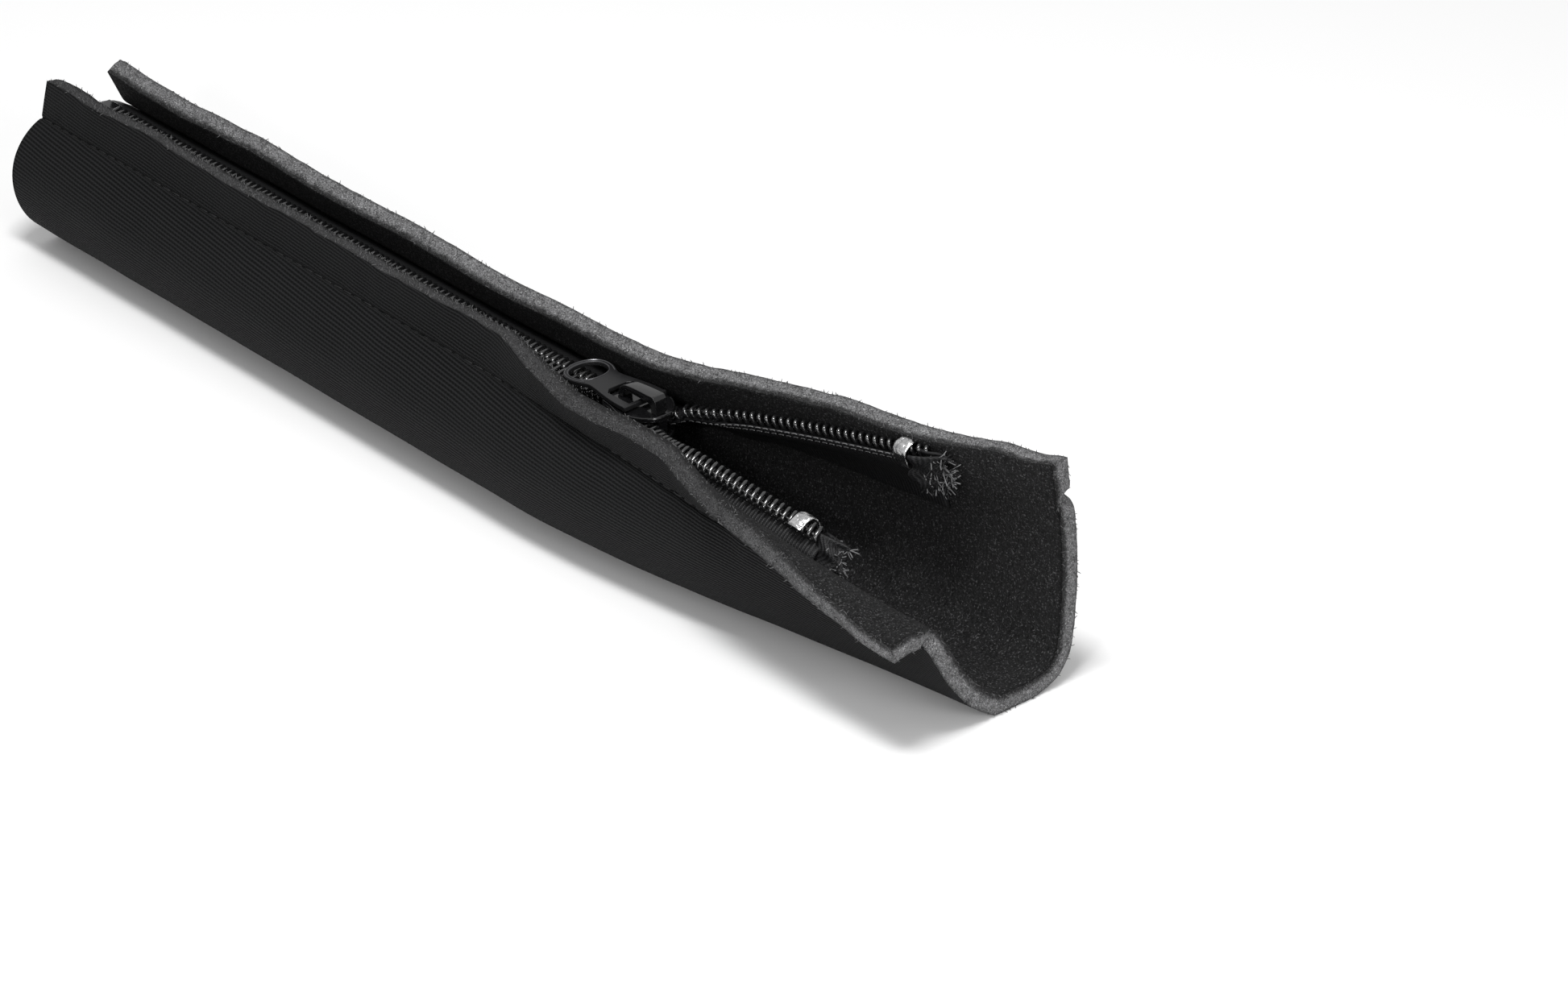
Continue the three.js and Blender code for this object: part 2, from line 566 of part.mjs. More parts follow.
// The pull, drawn about its pivot with the ring towards -X, then laid down on the chain
function pullTab() {
  const ringX = -(PULL_LENGTH - PULL_HALF);
  const waistX = ringX + WAIST_FROM_RING;
  const armX = -ARM_LENGTH;
  const barFront = PULL_THICKNESS / 2;
  const shape = new THREE.Shape();
  shape.moveTo(barFront, -PULL_HALF);
  shape.lineTo(barFront, PULL_HALF);
  shape.lineTo(armX, PULL_HALF);
  shape.bezierCurveTo(armX - 2.5, PULL_HALF - 0.2, waistX + 1.2, WAIST_HALF, waistX, WAIST_HALF + 0.1);
  shape.bezierCurveTo(waistX - 1.6, WAIST_HALF + 0.3, ringX + 2, PULL_HALF, ringX, PULL_HALF);
  shape.absarc(ringX, 0, PULL_HALF, Math.PI / 2, Math.PI * 1.5, false);
  shape.bezierCurveTo(ringX + 2, -PULL_HALF, waistX - 1.6, -WAIST_HALF - 0.3, waistX, -WAIST_HALF - 0.1);
  shape.bezierCurveTo(waistX + 1.2, -WAIST_HALF, armX - 2.5, -PULL_HALF + 0.2, armX, -PULL_HALF);
  const hole = new THREE.Path();
  const holeHalf = PULL_HALF - RING_WIDTH;
  const holeRear = -PULL_LENGTH + RING_WIDTH;
  hole.absellipse(holeRear + RING_HOLE_LENGTH / 2, 0, RING_HOLE_LENGTH / 2, holeHalf, 0, 2 * Math.PI, false, 0);
  const window = new THREE.Path();
  window.moveTo(-barFront, -WINDOW_HALF);
  window.lineTo(-WINDOW_LENGTH, -WINDOW_HALF);
  window.lineTo(-WINDOW_LENGTH, WINDOW_HALF);
  window.lineTo(-barFront, WINDOW_HALF);
  shape.holes.push(hole, window);
  return raised(shape, -PULL_THICKNESS / 2, PULL_THICKNESS / 2, 7);
}

// Metal crimp round the end of a strand: over the coil, round its heads and under the tape
function topStop(name) {
  const middleX = strandEnd[name] + STOP_LENGTH / 2;
  const { middle, along, up } = strandAt(middleX, name);
  const top = COIL_HEIGHT / 2 + WALL_GAP;
  const bottom = -(COIL_HEIGHT / 2 + COIL_SEAT + TAPE_THICKNESS + WALL_GAP);
  const head = -(COIL_WIDTH / 2 + WALL_GAP);
  const heel = COIL_WIDTH / 2;
  const round = STOP_WALL * 1.6;
  const profile = new THREE.Shape();
  profile.moveTo(heel, top);
  profile.lineTo(heel, top + STOP_WALL);
  profile.lineTo(head + round - STOP_WALL, top + STOP_WALL);
  profile.quadraticCurveTo(head - STOP_WALL, top + STOP_WALL, head - STOP_WALL, top + STOP_WALL - round);
  profile.lineTo(head - STOP_WALL, bottom - STOP_WALL + round);
  profile.quadraticCurveTo(head - STOP_WALL, bottom - STOP_WALL, head + round - STOP_WALL, bottom - STOP_WALL);
  profile.lineTo(heel, bottom - STOP_WALL);
  profile.lineTo(heel, bottom);
  profile.lineTo(head, bottom);
  profile.lineTo(head, top);
  const geometry = new THREE.ExtrudeGeometry(profile, { depth: STOP_LENGTH, bevelEnabled: false, curveSegments: 3 });
  const frame = new THREE.Matrix4().makeBasis(
    new THREE.Vector3(0, along.x, along.y),
    new THREE.Vector3(0, up.x, up.y),
    new THREE.Vector3(1, 0, 0),
  );
  frame.setPosition(strandEnd[name], middle.x, middle.y);
  return outward(mergeVertices(bareOf(geometry.applyMatrix4(frame)), 1e-4));
}

// Crimp across the closed end: a bar over both tapes, a web between their edges and a bar below
function bottomStop() {
  const [x0, x1] = [closedEndX, closedEndX + BOTTOM_STOP_LENGTH];
  const web = TAPE_EDGE - WALL_GAP;
  const half = COIL_WIDTH;
  const above = tapeMid + TAPE_THICKNESS / 2 + WALL_GAP;
  const below = tapeMid - TAPE_THICKNESS / 2 - WALL_GAP;
  const bars = toManifold(box(x0, x1, -half, half, above, above + BOTTOM_STOP_HEIGHT));
  const clench = toManifold(box(x0, x1, -half, half, below - STOP_WALL, below));
  return fromManifold(bars.add(clench).add(toManifold(box(x0, x1, -web, web, below - 0.1, above + 0.1))));
}

function bareOf(geometry) {
  const bare = geometry.clone();
  for (const name of ['normal', 'uv', 'uv1']) bare.deleteAttribute(name);
  return bare;
}

const knit = new THREE.MeshStandardMaterial({ color: 0x17181a, roughness: 0.92, metalness: 0 });
const woven = new THREE.MeshStandardMaterial({ color: 0x121315, roughness: 0.85, metalness: 0 });
const nylon = new THREE.MeshStandardMaterial({ color: 0x0c0d0f, roughness: 0.3, metalness: 0 });
const enamel = new THREE.MeshStandardMaterial({ color: 0x0e0f11, roughness: 0.22, metalness: 0.2 });
const satin = new THREE.MeshStandardMaterial({ color: 0x26282a, roughness: 0.38, metalness: 0.3 });
const spring = new THREE.MeshStandardMaterial({ color: 0x1b1c1e, roughness: 0.35, metalness: 0.8 });
const bright = new THREE.MeshStandardMaterial({ color: 0xb9bcbf, roughness: 0.3, metalness: 1 });

const group = new THREE.Group();
group.name = 'zippered_cable_sleeve';

function add(name, geometry, material) {
  const mesh = new THREE.Mesh(geometry, material);
  mesh.name = name;
  group.add(mesh);
  return mesh;
}

add('sleeve_panel', sleevePanel(), knit);
for (const name of ['near', 'far']) {
  add(`zip_tape_${name}`, zipTape(name), woven);
  add(`coil_${name}`, coil(name), nylon);
  add(`top_stop_${name}`, topStop(name), bright);
}
add('bottom_stop', bottomStop(), enamel);
add('slider_body', sliderBody(), enamel);
add('slider_crown', sliderCrown(), enamel);
add('lock_spring', lockSpring(), spring);
const pull = add('pull_tab', pullTab(), satin);
pull.rotation.y = -rad(PULL_SLOPE);
pull.position.set(pivotX, 0, pivotZ);

export default group;
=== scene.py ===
"""Looks of the zippered cable sleeve: a cut sheet of foam laminate with ribbed knit outside and
fleece inside, a coil zip along its top, and the zip's slider and pull."""

import json
import math
import random

import bpy
import numpy as np
from bpy.props import FloatProperty, FloatVectorProperty, IntProperty, PointerProperty
from mathutils import Matrix, Vector, noise


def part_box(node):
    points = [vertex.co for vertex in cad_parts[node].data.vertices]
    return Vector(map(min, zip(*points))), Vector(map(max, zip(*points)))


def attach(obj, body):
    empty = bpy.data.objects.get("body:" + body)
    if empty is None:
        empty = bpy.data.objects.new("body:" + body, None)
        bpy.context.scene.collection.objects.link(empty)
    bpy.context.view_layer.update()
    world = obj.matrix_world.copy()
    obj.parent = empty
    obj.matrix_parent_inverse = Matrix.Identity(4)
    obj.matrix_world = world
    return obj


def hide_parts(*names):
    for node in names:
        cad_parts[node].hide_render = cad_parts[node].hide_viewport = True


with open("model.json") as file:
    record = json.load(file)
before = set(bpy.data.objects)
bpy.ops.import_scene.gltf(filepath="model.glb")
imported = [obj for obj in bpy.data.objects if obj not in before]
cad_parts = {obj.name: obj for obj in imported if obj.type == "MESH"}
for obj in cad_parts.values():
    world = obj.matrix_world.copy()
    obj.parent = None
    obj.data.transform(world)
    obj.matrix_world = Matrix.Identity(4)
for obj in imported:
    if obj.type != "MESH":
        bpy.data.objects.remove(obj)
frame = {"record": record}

bl_info = {
    "name": "Zippered cable sleeve",
    "version": (1, 0, 0),
    "blender": (4, 5, 0),
    "location": "View3D > Sidebar > Sleeve",
    "description": "Builds the sleeve's sheet, its coil zip, the slider and the stage",
    "category": "Object",
}

MM = 0.001  # every size below is in millimetres


def cad(node):
    """Lowest and highest corner of a CAD node, in millimetres."""
    low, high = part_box(node)
    return [v / MM for v in low], [v / MM for v in high]


JOINTS = {j["name"]: j for j in frame["record"]["behaviour"]["joints"]}
PIVOT = [v / MM for v in JOINTS["pull_hinge"]["pos_m"]]
PANEL_LOW, PANEL_HIGH = cad("sleeve_panel")
NOSE_FROM_MOUTH = 74.5
NOSE = PANEL_HIGH[0] - NOSE_FROM_MOUTH  # front of the slider


# Settings that a user would change


class SheetSettings(bpy.types.PropertyGroup):
    """The sheet that the sleeve is rolled from."""

    width: FloatProperty(
        name="Width", description="Flat width, raw edge to raw edge", default=86.0 * MM, unit="LENGTH"
    )
    thickness: FloatProperty(
        name="Thickness", description="Of the laminate", default=3.5 * MM, unit="LENGTH"
    )
    seam_allowance: FloatProperty(
        name="Seam allowance", description="Stitch row to raw edge", default=8.0 * MM, unit="LENGTH"
    )
    rib_pitch: FloatProperty(
        name="Rib pitch", description="Between the knit's ribs", default=0.6 * MM, unit="LENGTH"
    )
    rib_skew: FloatProperty(
        name="Rib skew", description="How far the ribs turn from the length",
        default=math.radians(5.0), subtype="ANGLE",
    )
    stitch: FloatProperty(
        name="Stitch", description="Length of a stitch in the seams", default=2.8 * MM, unit="LENGTH"
    )
    fibres: FloatProperty(
        name="Fibres", description="That stand out of each mm of a cut edge", default=9.0
    )
    fray: FloatProperty(
        name="Edge fuzz", description="How rough the cut foam is", default=0.14 * MM, unit="LENGTH"
    )


class ZipSettings(bpy.types.PropertyGroup):
    """The coil zip."""

    pitch: FloatProperty(name="Pitch", description="From turn to turn", default=1.5 * MM, unit="LENGTH")
    coil_width: FloatProperty(
        name="Coil width", description="Heel to head", default=3.3 * MM, unit="LENGTH"
    )
    coil_height: FloatProperty(
        name="Coil height", description="From the tape up", default=2.2 * MM, unit="LENGTH"
    )
    wire: FloatProperty(
        name="Wire", description="Diameter of the nylon wire", default=0.68 * MM, unit="LENGTH"
    )
    head_overlap: FloatProperty(
        name="Head overlap", description="Of the heads past the centre line",
        default=0.45 * MM, unit="LENGTH",
    )
    loose_turns: IntProperty(name="Loose turns", description="Past each top stop", default=2)
    fray_threads: IntProperty(name="Loose threads", description="At each tape's end", default=240)


class ColourSettings(bpy.types.PropertyGroup):
    """The finishes."""

    knit: FloatVectorProperty(
        name="Knit", description="Outside of the sheet", default=(0.0074, 0.0075, 0.0078), subtype="COLOR"
    )
    fleece: FloatVectorProperty(
        name="Fleece", description="Inside of the sheet", default=(0.011, 0.011, 0.0113), subtype="COLOR"
    )
    foam: FloatVectorProperty(
        name="Foam", description="Cut foam at the edges", default=(0.17, 0.17, 0.173), subtype="COLOR"
    )
    tape: FloatVectorProperty(
        name="Tape", description="Woven zip tape", default=(0.008, 0.008, 0.0085), subtype="COLOR"
    )
    nylon: FloatVectorProperty(
        name="Nylon", description="The coils", default=(0.009, 0.009, 0.0095), subtype="COLOR"
    )
    enamel: FloatVectorProperty(
        name="Enamel", description="Slider body and crown",
        default=(0.006, 0.006, 0.0065), subtype="COLOR",
    )
    pull: FloatVectorProperty(
        name="Pull", description="Satin pull tab", default=(0.017, 0.017, 0.018), subtype="COLOR"
    )


class StageSettings(bpy.types.PropertyGroup):
    """The camera and the light."""

    azimuth: FloatProperty(
        name="Azimuth", description="Of the camera", default=math.radians(48.44), subtype="ANGLE"
    )
    elevation: FloatProperty(
        name="Elevation", description="Above the horizon", default=math.radians(30.0), subtype="ANGLE"
    )
    lens: FloatProperty(
        name="Lens", description="Focal length on a 36 mm sensor", default=139.79 * MM, unit="LENGTH"
    )
    daylight: FloatProperty(name="Surroundings", description="Strength of the even light", default=0.5)


SETTINGS = (SheetSettings, ZipSettings, ColourSettings, StageSettings)


class Settings:
    """Reads a settings group, with its lengths in millimetres and its angles in degrees."""

    def __init__(self, group):
        self.group = group

    def __getattr__(self, key):
        value = getattr(self.group, key)
        unit = self.group.bl_rna.properties[key].unit
        if unit == "LENGTH":
            return round(value / MM, 4)
        if unit == "ROTATION":
            return round(math.degrees(value), 4)
        return value


def sheet_settings():
    return Settings(bpy.context.scene.sleeve_sheet)


def zip_settings():
    return Settings(bpy.context.scene.sleeve_zip)


def stage_settings():
    return Settings(bpy.context.scene.sleeve_stage)


def colour(name):
    return tuple(getattr(bpy.context.scene.sleeve_colours, name)) + (1.0,)


# The cross-section: heading of the wall against arc length from the resting line. The near side
# is -Y, the far side +Y.

FLAT_SPOT = 2.5
NEAR_SHARE = 0.5
SEAM_BEND = 1.25
SHOULDER_TURN = 68.0
RIPPLE_ANGLE = 2.2
RIPPLE_LENGTH = 46.0
PULL_HALF = 4.6
LIP_CLEARANCE = 0.45
MOUTH_SHIFT = 11.5
MOUTH_ROLL = 7.0
SHIFT_LEAD, SHIFT_EASE = 25.0, 0.76
# How the near raw edge sways about its stitch row: (x, degrees inwards)
NEAR_EDGE_TURN = (
    (10, 0), (28, -14), (38, -19), (46, -11), (53, 3), (63, 17), (75, 13), (88, 13), (105, 4), (120, 0),
)
FAR_EDGE_WAVE, FAR_WAVE_CREST, FAR_WAVE_LENGTH = 1.3, 62.0, 78.0
SIDES = {
    "near": {
        "sign": -1, "lean": 104.0, "lead": 44.0, "ease": 0.93, "phase": 0.6,
        "bends": [(0.16, 28), (0.4, 48), (0.72, 60)], "below": 60, "above": 16, "lip": -14,
        "reach": 4.4, "rise": 27.0, "off": 0.0, "end": 40.0,
    },
    "far": {
        "sign": 1, "lean": 118.0, "lead": 50.0, "ease": 0.6, "phase": 2.4,
        "bends": [(0.15, 14), (0.34, 84), (0.66, 90)], "below": 100, "above": 108, "lip": 94,
        "reach": 5.0, "rise": 66.0, "off": 2.3, "end": 44.5,
    },
}
COIL_SEAT = 0.2
TAPE_THICKNESS = 0.5
TAPE_EDGE = 1.1
TAPE_WIDTH = 13.0
WALL_GAP = 0.3
SLIDER_LENGTH = 12.0
SHOULDER_HALF = 5.2
REAR_HALF = 4.2
PLATE = 0.7
RIM_HEIGHT = 0.25
RUNNING_GAP = 0.25
FRONT_SPREAD = 1.6
SPREAD_SLOPE = 0.2
FREE_RUN = 15.0
STOP_LENGTH = 3.0
CLOTH_UNIT = 100.0  # mm to one unit of a cloth's flat coordinates


def smooth(v):
    v = min(max(v, 0.0), 1.0)
    return v * v * (3 - 2 * v)


def ramp(v, low, high):
    return smooth((v - low) / (high - low))


def opening(x, lead, ease):
    """0 where the sleeve is closed, 1 at the mouth."""
    u = min(max((x - NOSE + lead) / (NOSE_FROM_MOUTH + lead), 0.0), 1.2)
    return smooth(min(u * ease, 1.0)) / smooth(ease)


def closed_knots(name, wall, length):
    side = SIDES[name]
    sheet = sheet_settings()
    lean, sign = side["lean"], side["sign"]
    own_wall = sheet.width / 2 - sign * NEAR_SHARE - sheet.seam_allowance
    share = (1 - math.cos(math.radians(SHOULDER_TURN))) / math.radians(SHOULDER_TURN)
    edge = PULL_HALF + LIP_CLEARANCE + sheet.seam_allowance * math.sin(math.radians(RIPPLE_ANGLE))
    bend = math.radians((90 + SHOULDER_TURN) / 4 + 0.75 * lean)
    past_bend = sheet.seam_allowance - SEAM_BEND
    lean_in = -past_bend * math.cos(math.radians(lean)) - SEAM_BEND * math.cos(bend)
    lateral = edge + sheet.thickness / 2 * math.sin(math.radians(lean)) + lean_in
    radius = (lateral - FLAT_SPOT + share * (own_wall - FLAT_SPOT)) / (1 + share * math.pi / 2)
    hip = FLAT_SPOT + radius * math.pi / 2
    turn = 90 + SHOULDER_TURN
    at = [0, FLAT_SPOT, hip / own_wall * wall, wall - SEAM_BEND, wall + SEAM_BEND, length]
    return at, [0, 0, 90, turn, lean, lean]


class Wall:
    """One side of the sheet in cross-section at x. Arc 0 is the resting line."""

    STEP = 0.2

    def __init__(self, x, name):
        side = SIDES[name]
        sheet = sheet_settings()
        self.sign = side["sign"]
        self.thickness = sheet.thickness
        shift = opening(x, SHIFT_LEAD, SHIFT_EASE)
        self.open = opening(x, side["lead"], side["ease"])
        crest = math.cos(2 * math.pi * (x - FAR_WAVE_CREST) / FAR_WAVE_LENGTH)
        wave = FAR_EDGE_WAVE * min(1.0, 2 * self.open) * crest if name == "far" else 0.0
        self.length = sheet.width / 2 + self.sign * (MOUTH_ROLL * shift - NEAR_SHARE) + wave
        self.seam = self.length - sheet.seam_allowance
        sway = RIPPLE_ANGLE * math.sin(2 * math.pi * x / RIPPLE_LENGTH + side["phase"])
        count = int(round(self.length / self.STEP))
        self.s = np.linspace(0, self.length, count + 1)
        closed = np.interp(self.s, *closed_knots(name, self.seam, self.length))
        at = [0, FLAT_SPOT] + [share * self.seam for share, _ in side["bends"]]
        at += [self.seam - SEAM_BEND, self.seam + SEAM_BEND, self.length]
        mouth = [0, 0] + [a for _, a in side["bends"]] + [side["below"], side["above"], side["lip"]]
        spread = np.interp(self.s, at, mouth)
        past = np.clip((self.s - self.seam) / SEAM_BEND, 0, 1)
        if name == "near":
            sway += float(np.interp(x, *zip(*NEAR_EDGE_TURN)))
        self.angle = np.radians(closed * (1 - self.open) + spread * self.open + sway * past)
        mean = (self.angle[1:] + self.angle[:-1]) / 2
        step = self.s[1]
        self.y = MOUTH_SHIFT * shift + self.sign * np.concatenate([[0], np.cumsum(np.cos(mean) * step)])
        self.z = self.thickness / 2 + np.concatenate([[0], np.cumsum(np.sin(mean) * step)])

    def at(self, s, offset=0.0):
        """(y, z) at arc s, offset mm outwards from mid thickness."""
        s = np.clip(s, 0, self.length)
        angle = np.interp(s, self.s, self.angle)
        y = np.interp(s, self.s, self.y) + self.sign * np.sin(angle) * offset
        z = np.interp(s, self.s, self.z) - np.cos(angle) * offset
        return np.stack([y, z], axis=-1)


WALLS = {}


def wall_at(x, name):
    """The wall of one side at x, worked out once."""
    key = (round(float(x), 3), name)
    if key not in WALLS:
        WALLS[key] = Wall(float(x), name)
    return WALLS[key]


def levels():
    """Heights in the closed part, from the CAD slider: tape middle, coil middle, plate top."""
    zipper = zip_settings()
    plate_top = cad("slider_body")[1][2] - RIM_HEIGHT
    coil_top = plate_top - PLATE - RUNNING_GAP
    coil_mid = coil_top - zipper.coil_height / 2
    tape_mid = coil_mid - zipper.coil_height / 2 - COIL_SEAT - TAPE_THICKNESS / 2
    return tape_mid, coil_mid, plate_top


FAR_NOSE = (4.9, 26.9)  # where the far strand leaves the slider, and its stop, as (y, z)
FAR_STOP = (13.2, 35.3)
FAR_SAG = (0.5, 0.3)  # halfway between them
TAUT_START = NOSE - 4  # between the slider's plates
TAUT_BLEND = 5.0


def taut_line(x):
    """The free far strand, drawn nearly straight from the slider to its stop."""
    t = (x - NOSE) / SIDES["far"]["end"]
    ease = ramp(x, TAUT_START, TAUT_START + TAUT_BLEND)
    nose, stop = np.array(FAR_NOSE), np.array(FAR_STOP)
    zipper = zip_settings()
    inside = np.array([zipper.coil_width / 2 - zipper.head_overlap + FRONT_SPREAD, levels()[1]])
    line = nose + (stop - nose) * t + np.array(FAR_SAG) * math.sin(math.pi * min(max(t, 0), 1))
    return inside * (1 - ease) + line * ease


class Strand:
    """Middle of one coil strand at x, the way along its tape, and the way up from it, in (y, z)."""

    def __init__(self, x, name):
        side = SIDES[name]
        zipper = zip_settings()
        sign = side["sign"]
        rise = math.radians(side["rise"])
        self.wall = wall_at(x, name)
        self.lateral = zipper.coil_width / 2 - zipper.head_overlap
        seam = self.wall.at(self.wall.seam, -self.wall.thickness / 2)
        spread = ramp(x, NOSE - SLIDER_LENGTH, NOSE - 1) * FRONT_SPREAD
        run = max(0.0, x - NOSE) * SPREAD_SLOPE
        guided = np.array([sign * (self.lateral + spread + run), levels()[1]])
        slope = np.array([-sign * math.cos(rise), math.sin(rise)])
        aside = np.array([-sign * slope[1], sign * slope[0]]) * side["off"]
        hung = slope * side["reach"] + aside + seam
        self.free = ramp(x, NOSE - 1, NOSE + FREE_RUN)
        self.middle = guided * (1 - self.free) + hung * self.free
        if name == "far" and x > TAUT_START:
            self.middle = taut_line(x)
        along = np.array([sign, 0.0]) * (1 - self.free) - slope * self.free
        self.along = along / np.linalg.norm(along)
        self.up = np.array([-self.along[1], self.along[0]]) * sign

    def place(self, u, v):
        return self.middle + self.along * u + self.up * v


# Meshes


def new_piece(name, points, faces, finishes, indices=None, uvs=None, layers=None):
    """A mesh piece from points in mm. uvs is one pair per face corner, layers one value per point."""
    mesh = bpy.data.meshes.new(name)
    mesh.from_pydata([tuple(float(c) * MM for c in p) for p in points], [], faces)
    for material in finishes:
        mesh.materials.append(material)
    if indices is not None:
        mesh.polygons.foreach_set("material_index", indices)
    if uvs is not None:
        layer = mesh.uv_layers.new(name="cloth")
        layer.data.foreach_set("uv", np.asarray(uvs, dtype=np.float32).ravel())
    if layers is not None:
        depth = mesh.attributes.new("layer", "FLOAT", "POINT")
        depth.data.foreach_set("value", np.asarray(layers, dtype=np.float32))
    mesh.polygons.foreach_set("use_smooth", [True] * len(mesh.polygons))
    mesh.validate()
    mesh.update()
    piece = bpy.data.objects.new(name, mesh)
    bpy.context.scene.collection.objects.link(piece)
    return piece


def dress(piece, body, slot, *nodes):
    """Puts a finished piece on its body, in place of its CAD nodes."""
    if nodes:
        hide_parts(*nodes)
    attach(piece, body)
    return piece


def baked(source, name, material):
    """A plain mesh object from an object with modifiers, or from a curve. The source goes."""
    bpy.context.view_layer.update()
    depsgraph = bpy.context.evaluated_depsgraph_get()
    mesh = bpy.data.meshes.new_from_object(source.evaluated_get(depsgraph), depsgraph=depsgraph)
    mesh.transform(source.matrix_world)
    mesh.materials.clear()
    mesh.materials.append(material)
    piece = bpy.data.objects.new(name, mesh)
    bpy.context.scene.collection.objects.link(piece)
    bpy.data.objects.remove(source, do_unlink=True)
    # The source's own mesh or curve goes too, so that its name is free
    for blocks in (bpy.data.meshes, bpy.data.curves):
        if name in blocks and blocks[name].users == 0:
            blocks.remove(blocks[name])
    piece.name = mesh.name = name
    return piece


def joined(name, pieces):
    """One object from several."""
    with bpy.context.temp_override(
        active_object=pieces[0], object=pieces[0], selected_editable_objects=pieces, selected_objects=pieces
    ):
        bpy.ops.object.join()
    pieces[0].name = name
    pieces[0].data.name = name
    return pieces[0]


def tube(path, radius, sides=8, closed=False):
    """Points and faces of a round wire along a path of 3-vectors."""
    path = [Vector(p) for p in path]
    count = len(path)
    points, faces = [], []
    normal = None
    for i, p in enumerate(path):
        before = path[i - 1] if i or closed else p
        after = path[(i + 1) % count] if i < count - 1 or closed else p
        tangent = (after - before).normalized()
        if normal is None:
            normal = tangent.orthogonal().normalized()
        normal = (normal - tangent * normal.dot(tangent)).normalized()
        side = tangent.cross(normal)
        r = radius[i] if hasattr(radius, "__len__") else radius
        for k in range(sides):
            a = 2 * math.pi * k / sides
            points.append(p + normal * math.cos(a) * r + side * math.sin(a) * r)
    rings = count if closed else count - 1
    for i in range(rings):
        for k in range(sides):
            a, b = i * sides + k, i * sides + (k + 1) % sides
            c, d = ((i + 1) % count) * sides + k, ((i + 1) % count) * sides + (k + 1) % sides
            faces.append((a, b, d, c))
    if not closed:
        faces.append(tuple(reversed(range(sides))))
        faces.append(tuple((count - 1) * sides + k for k in range(sides)))
    return points, faces


def plate(name, outline, z0, z1, bevel, material, holes=()):
    """A flat plate from closed outlines in (x, y) mm, with rounded edges."""
    curve = bpy.data.curves.new(name, "CURVE")
    curve.dimensions = "2D"
    curve.fill_mode = "BOTH"
    for loop in (outline, *holes):
        spline = curve.splines.new("POLY")
        spline.points.add(len(loop) - 1)
        for point, (x, y) in zip(spline.points, loop):
            point.co = (x * MM, y * MM, 0, 1)
        spline.use_cyclic_u = True
    curve.extrude = ((z1 - z0) / 2 - bevel) * MM
    curve.bevel_depth = bevel * MM
    curve.bevel_resolution = 3
    curve.offset = -bevel * MM
    source = bpy.data.objects.new(name, curve)
    bpy.context.scene.collection.objects.link(source)
    source.location = (0, 0, (z0 + z1) / 2 * MM)
    piece = baked(source, name, material)
    shade_by_angle(piece, 35)
    return piece


def shade_by_angle(piece, degrees):
    piece.data.polygons.foreach_set("use_smooth", [True] * len(piece.data.polygons))
    with bpy.context.temp_override(
        active_object=piece, object=piece, selected_editable_objects=[piece], selected_objects=[piece]
    ):
        bpy.ops.object.shade_smooth_by_angle(angle=math.radians(degrees))


def bezier(p0, p1, p2, p3, count=10):
    t = np.linspace(0, 1, count, endpoint=False)[:, None]
    p0, p1, p2, p3 = (np.array(p, dtype=float) for p in (p0, p1, p2, p3))
    line = (1 - t) ** 3 * p0 + 3 * (1 - t) ** 2 * t * p1 + 3 * (1 - t) * t * t * p2 + t**3 * p3
    return [tuple(p) for p in line]


# Finishes


class Val:
    """A socket that arithmetic can be written on."""

    def __init__(self, tree, socket):
        self.tree = tree
        self.socket = socket

    def math(self, operation, *others, flip=False):
        terms = [self, *others]
        if flip:
            terms.reverse()
        node = self.tree.nodes.new("ShaderNodeMath")
        node.operation = operation
        for target, term in zip(node.inputs, terms):
            if isinstance(term, Val):
                self.tree.links.new(term.socket, target)
            else:
                target.default_value = term
        return Val(self.tree, node.outputs[0])

    def __add__(self, other):
        return self.math("ADD", other)

    __radd__ = __add__

    def __sub__(self, other):
        return self.math("SUBTRACT", other)

    def __rsub__(self, other):
        return self.math("SUBTRACT", other, flip=True)

    def __mul__(self, other):
        return self.math("MULTIPLY", other)

    __rmul__ = __mul__

    def __truediv__(self, other):
        return self.math("DIVIDE", other)

    def sin(self):
        return self.math("SINE")

    def power(self, other):
        return self.math("POWER", other)

    def clamp(self, low=0.0, high=1.0):
        return self.math("MAXIMUM", low).math("MINIMUM", high)

    def between(self, low, high):
        """0 at low to 1 at high, in a straight line."""
        return ((self - low) / (high - low)).clamp()


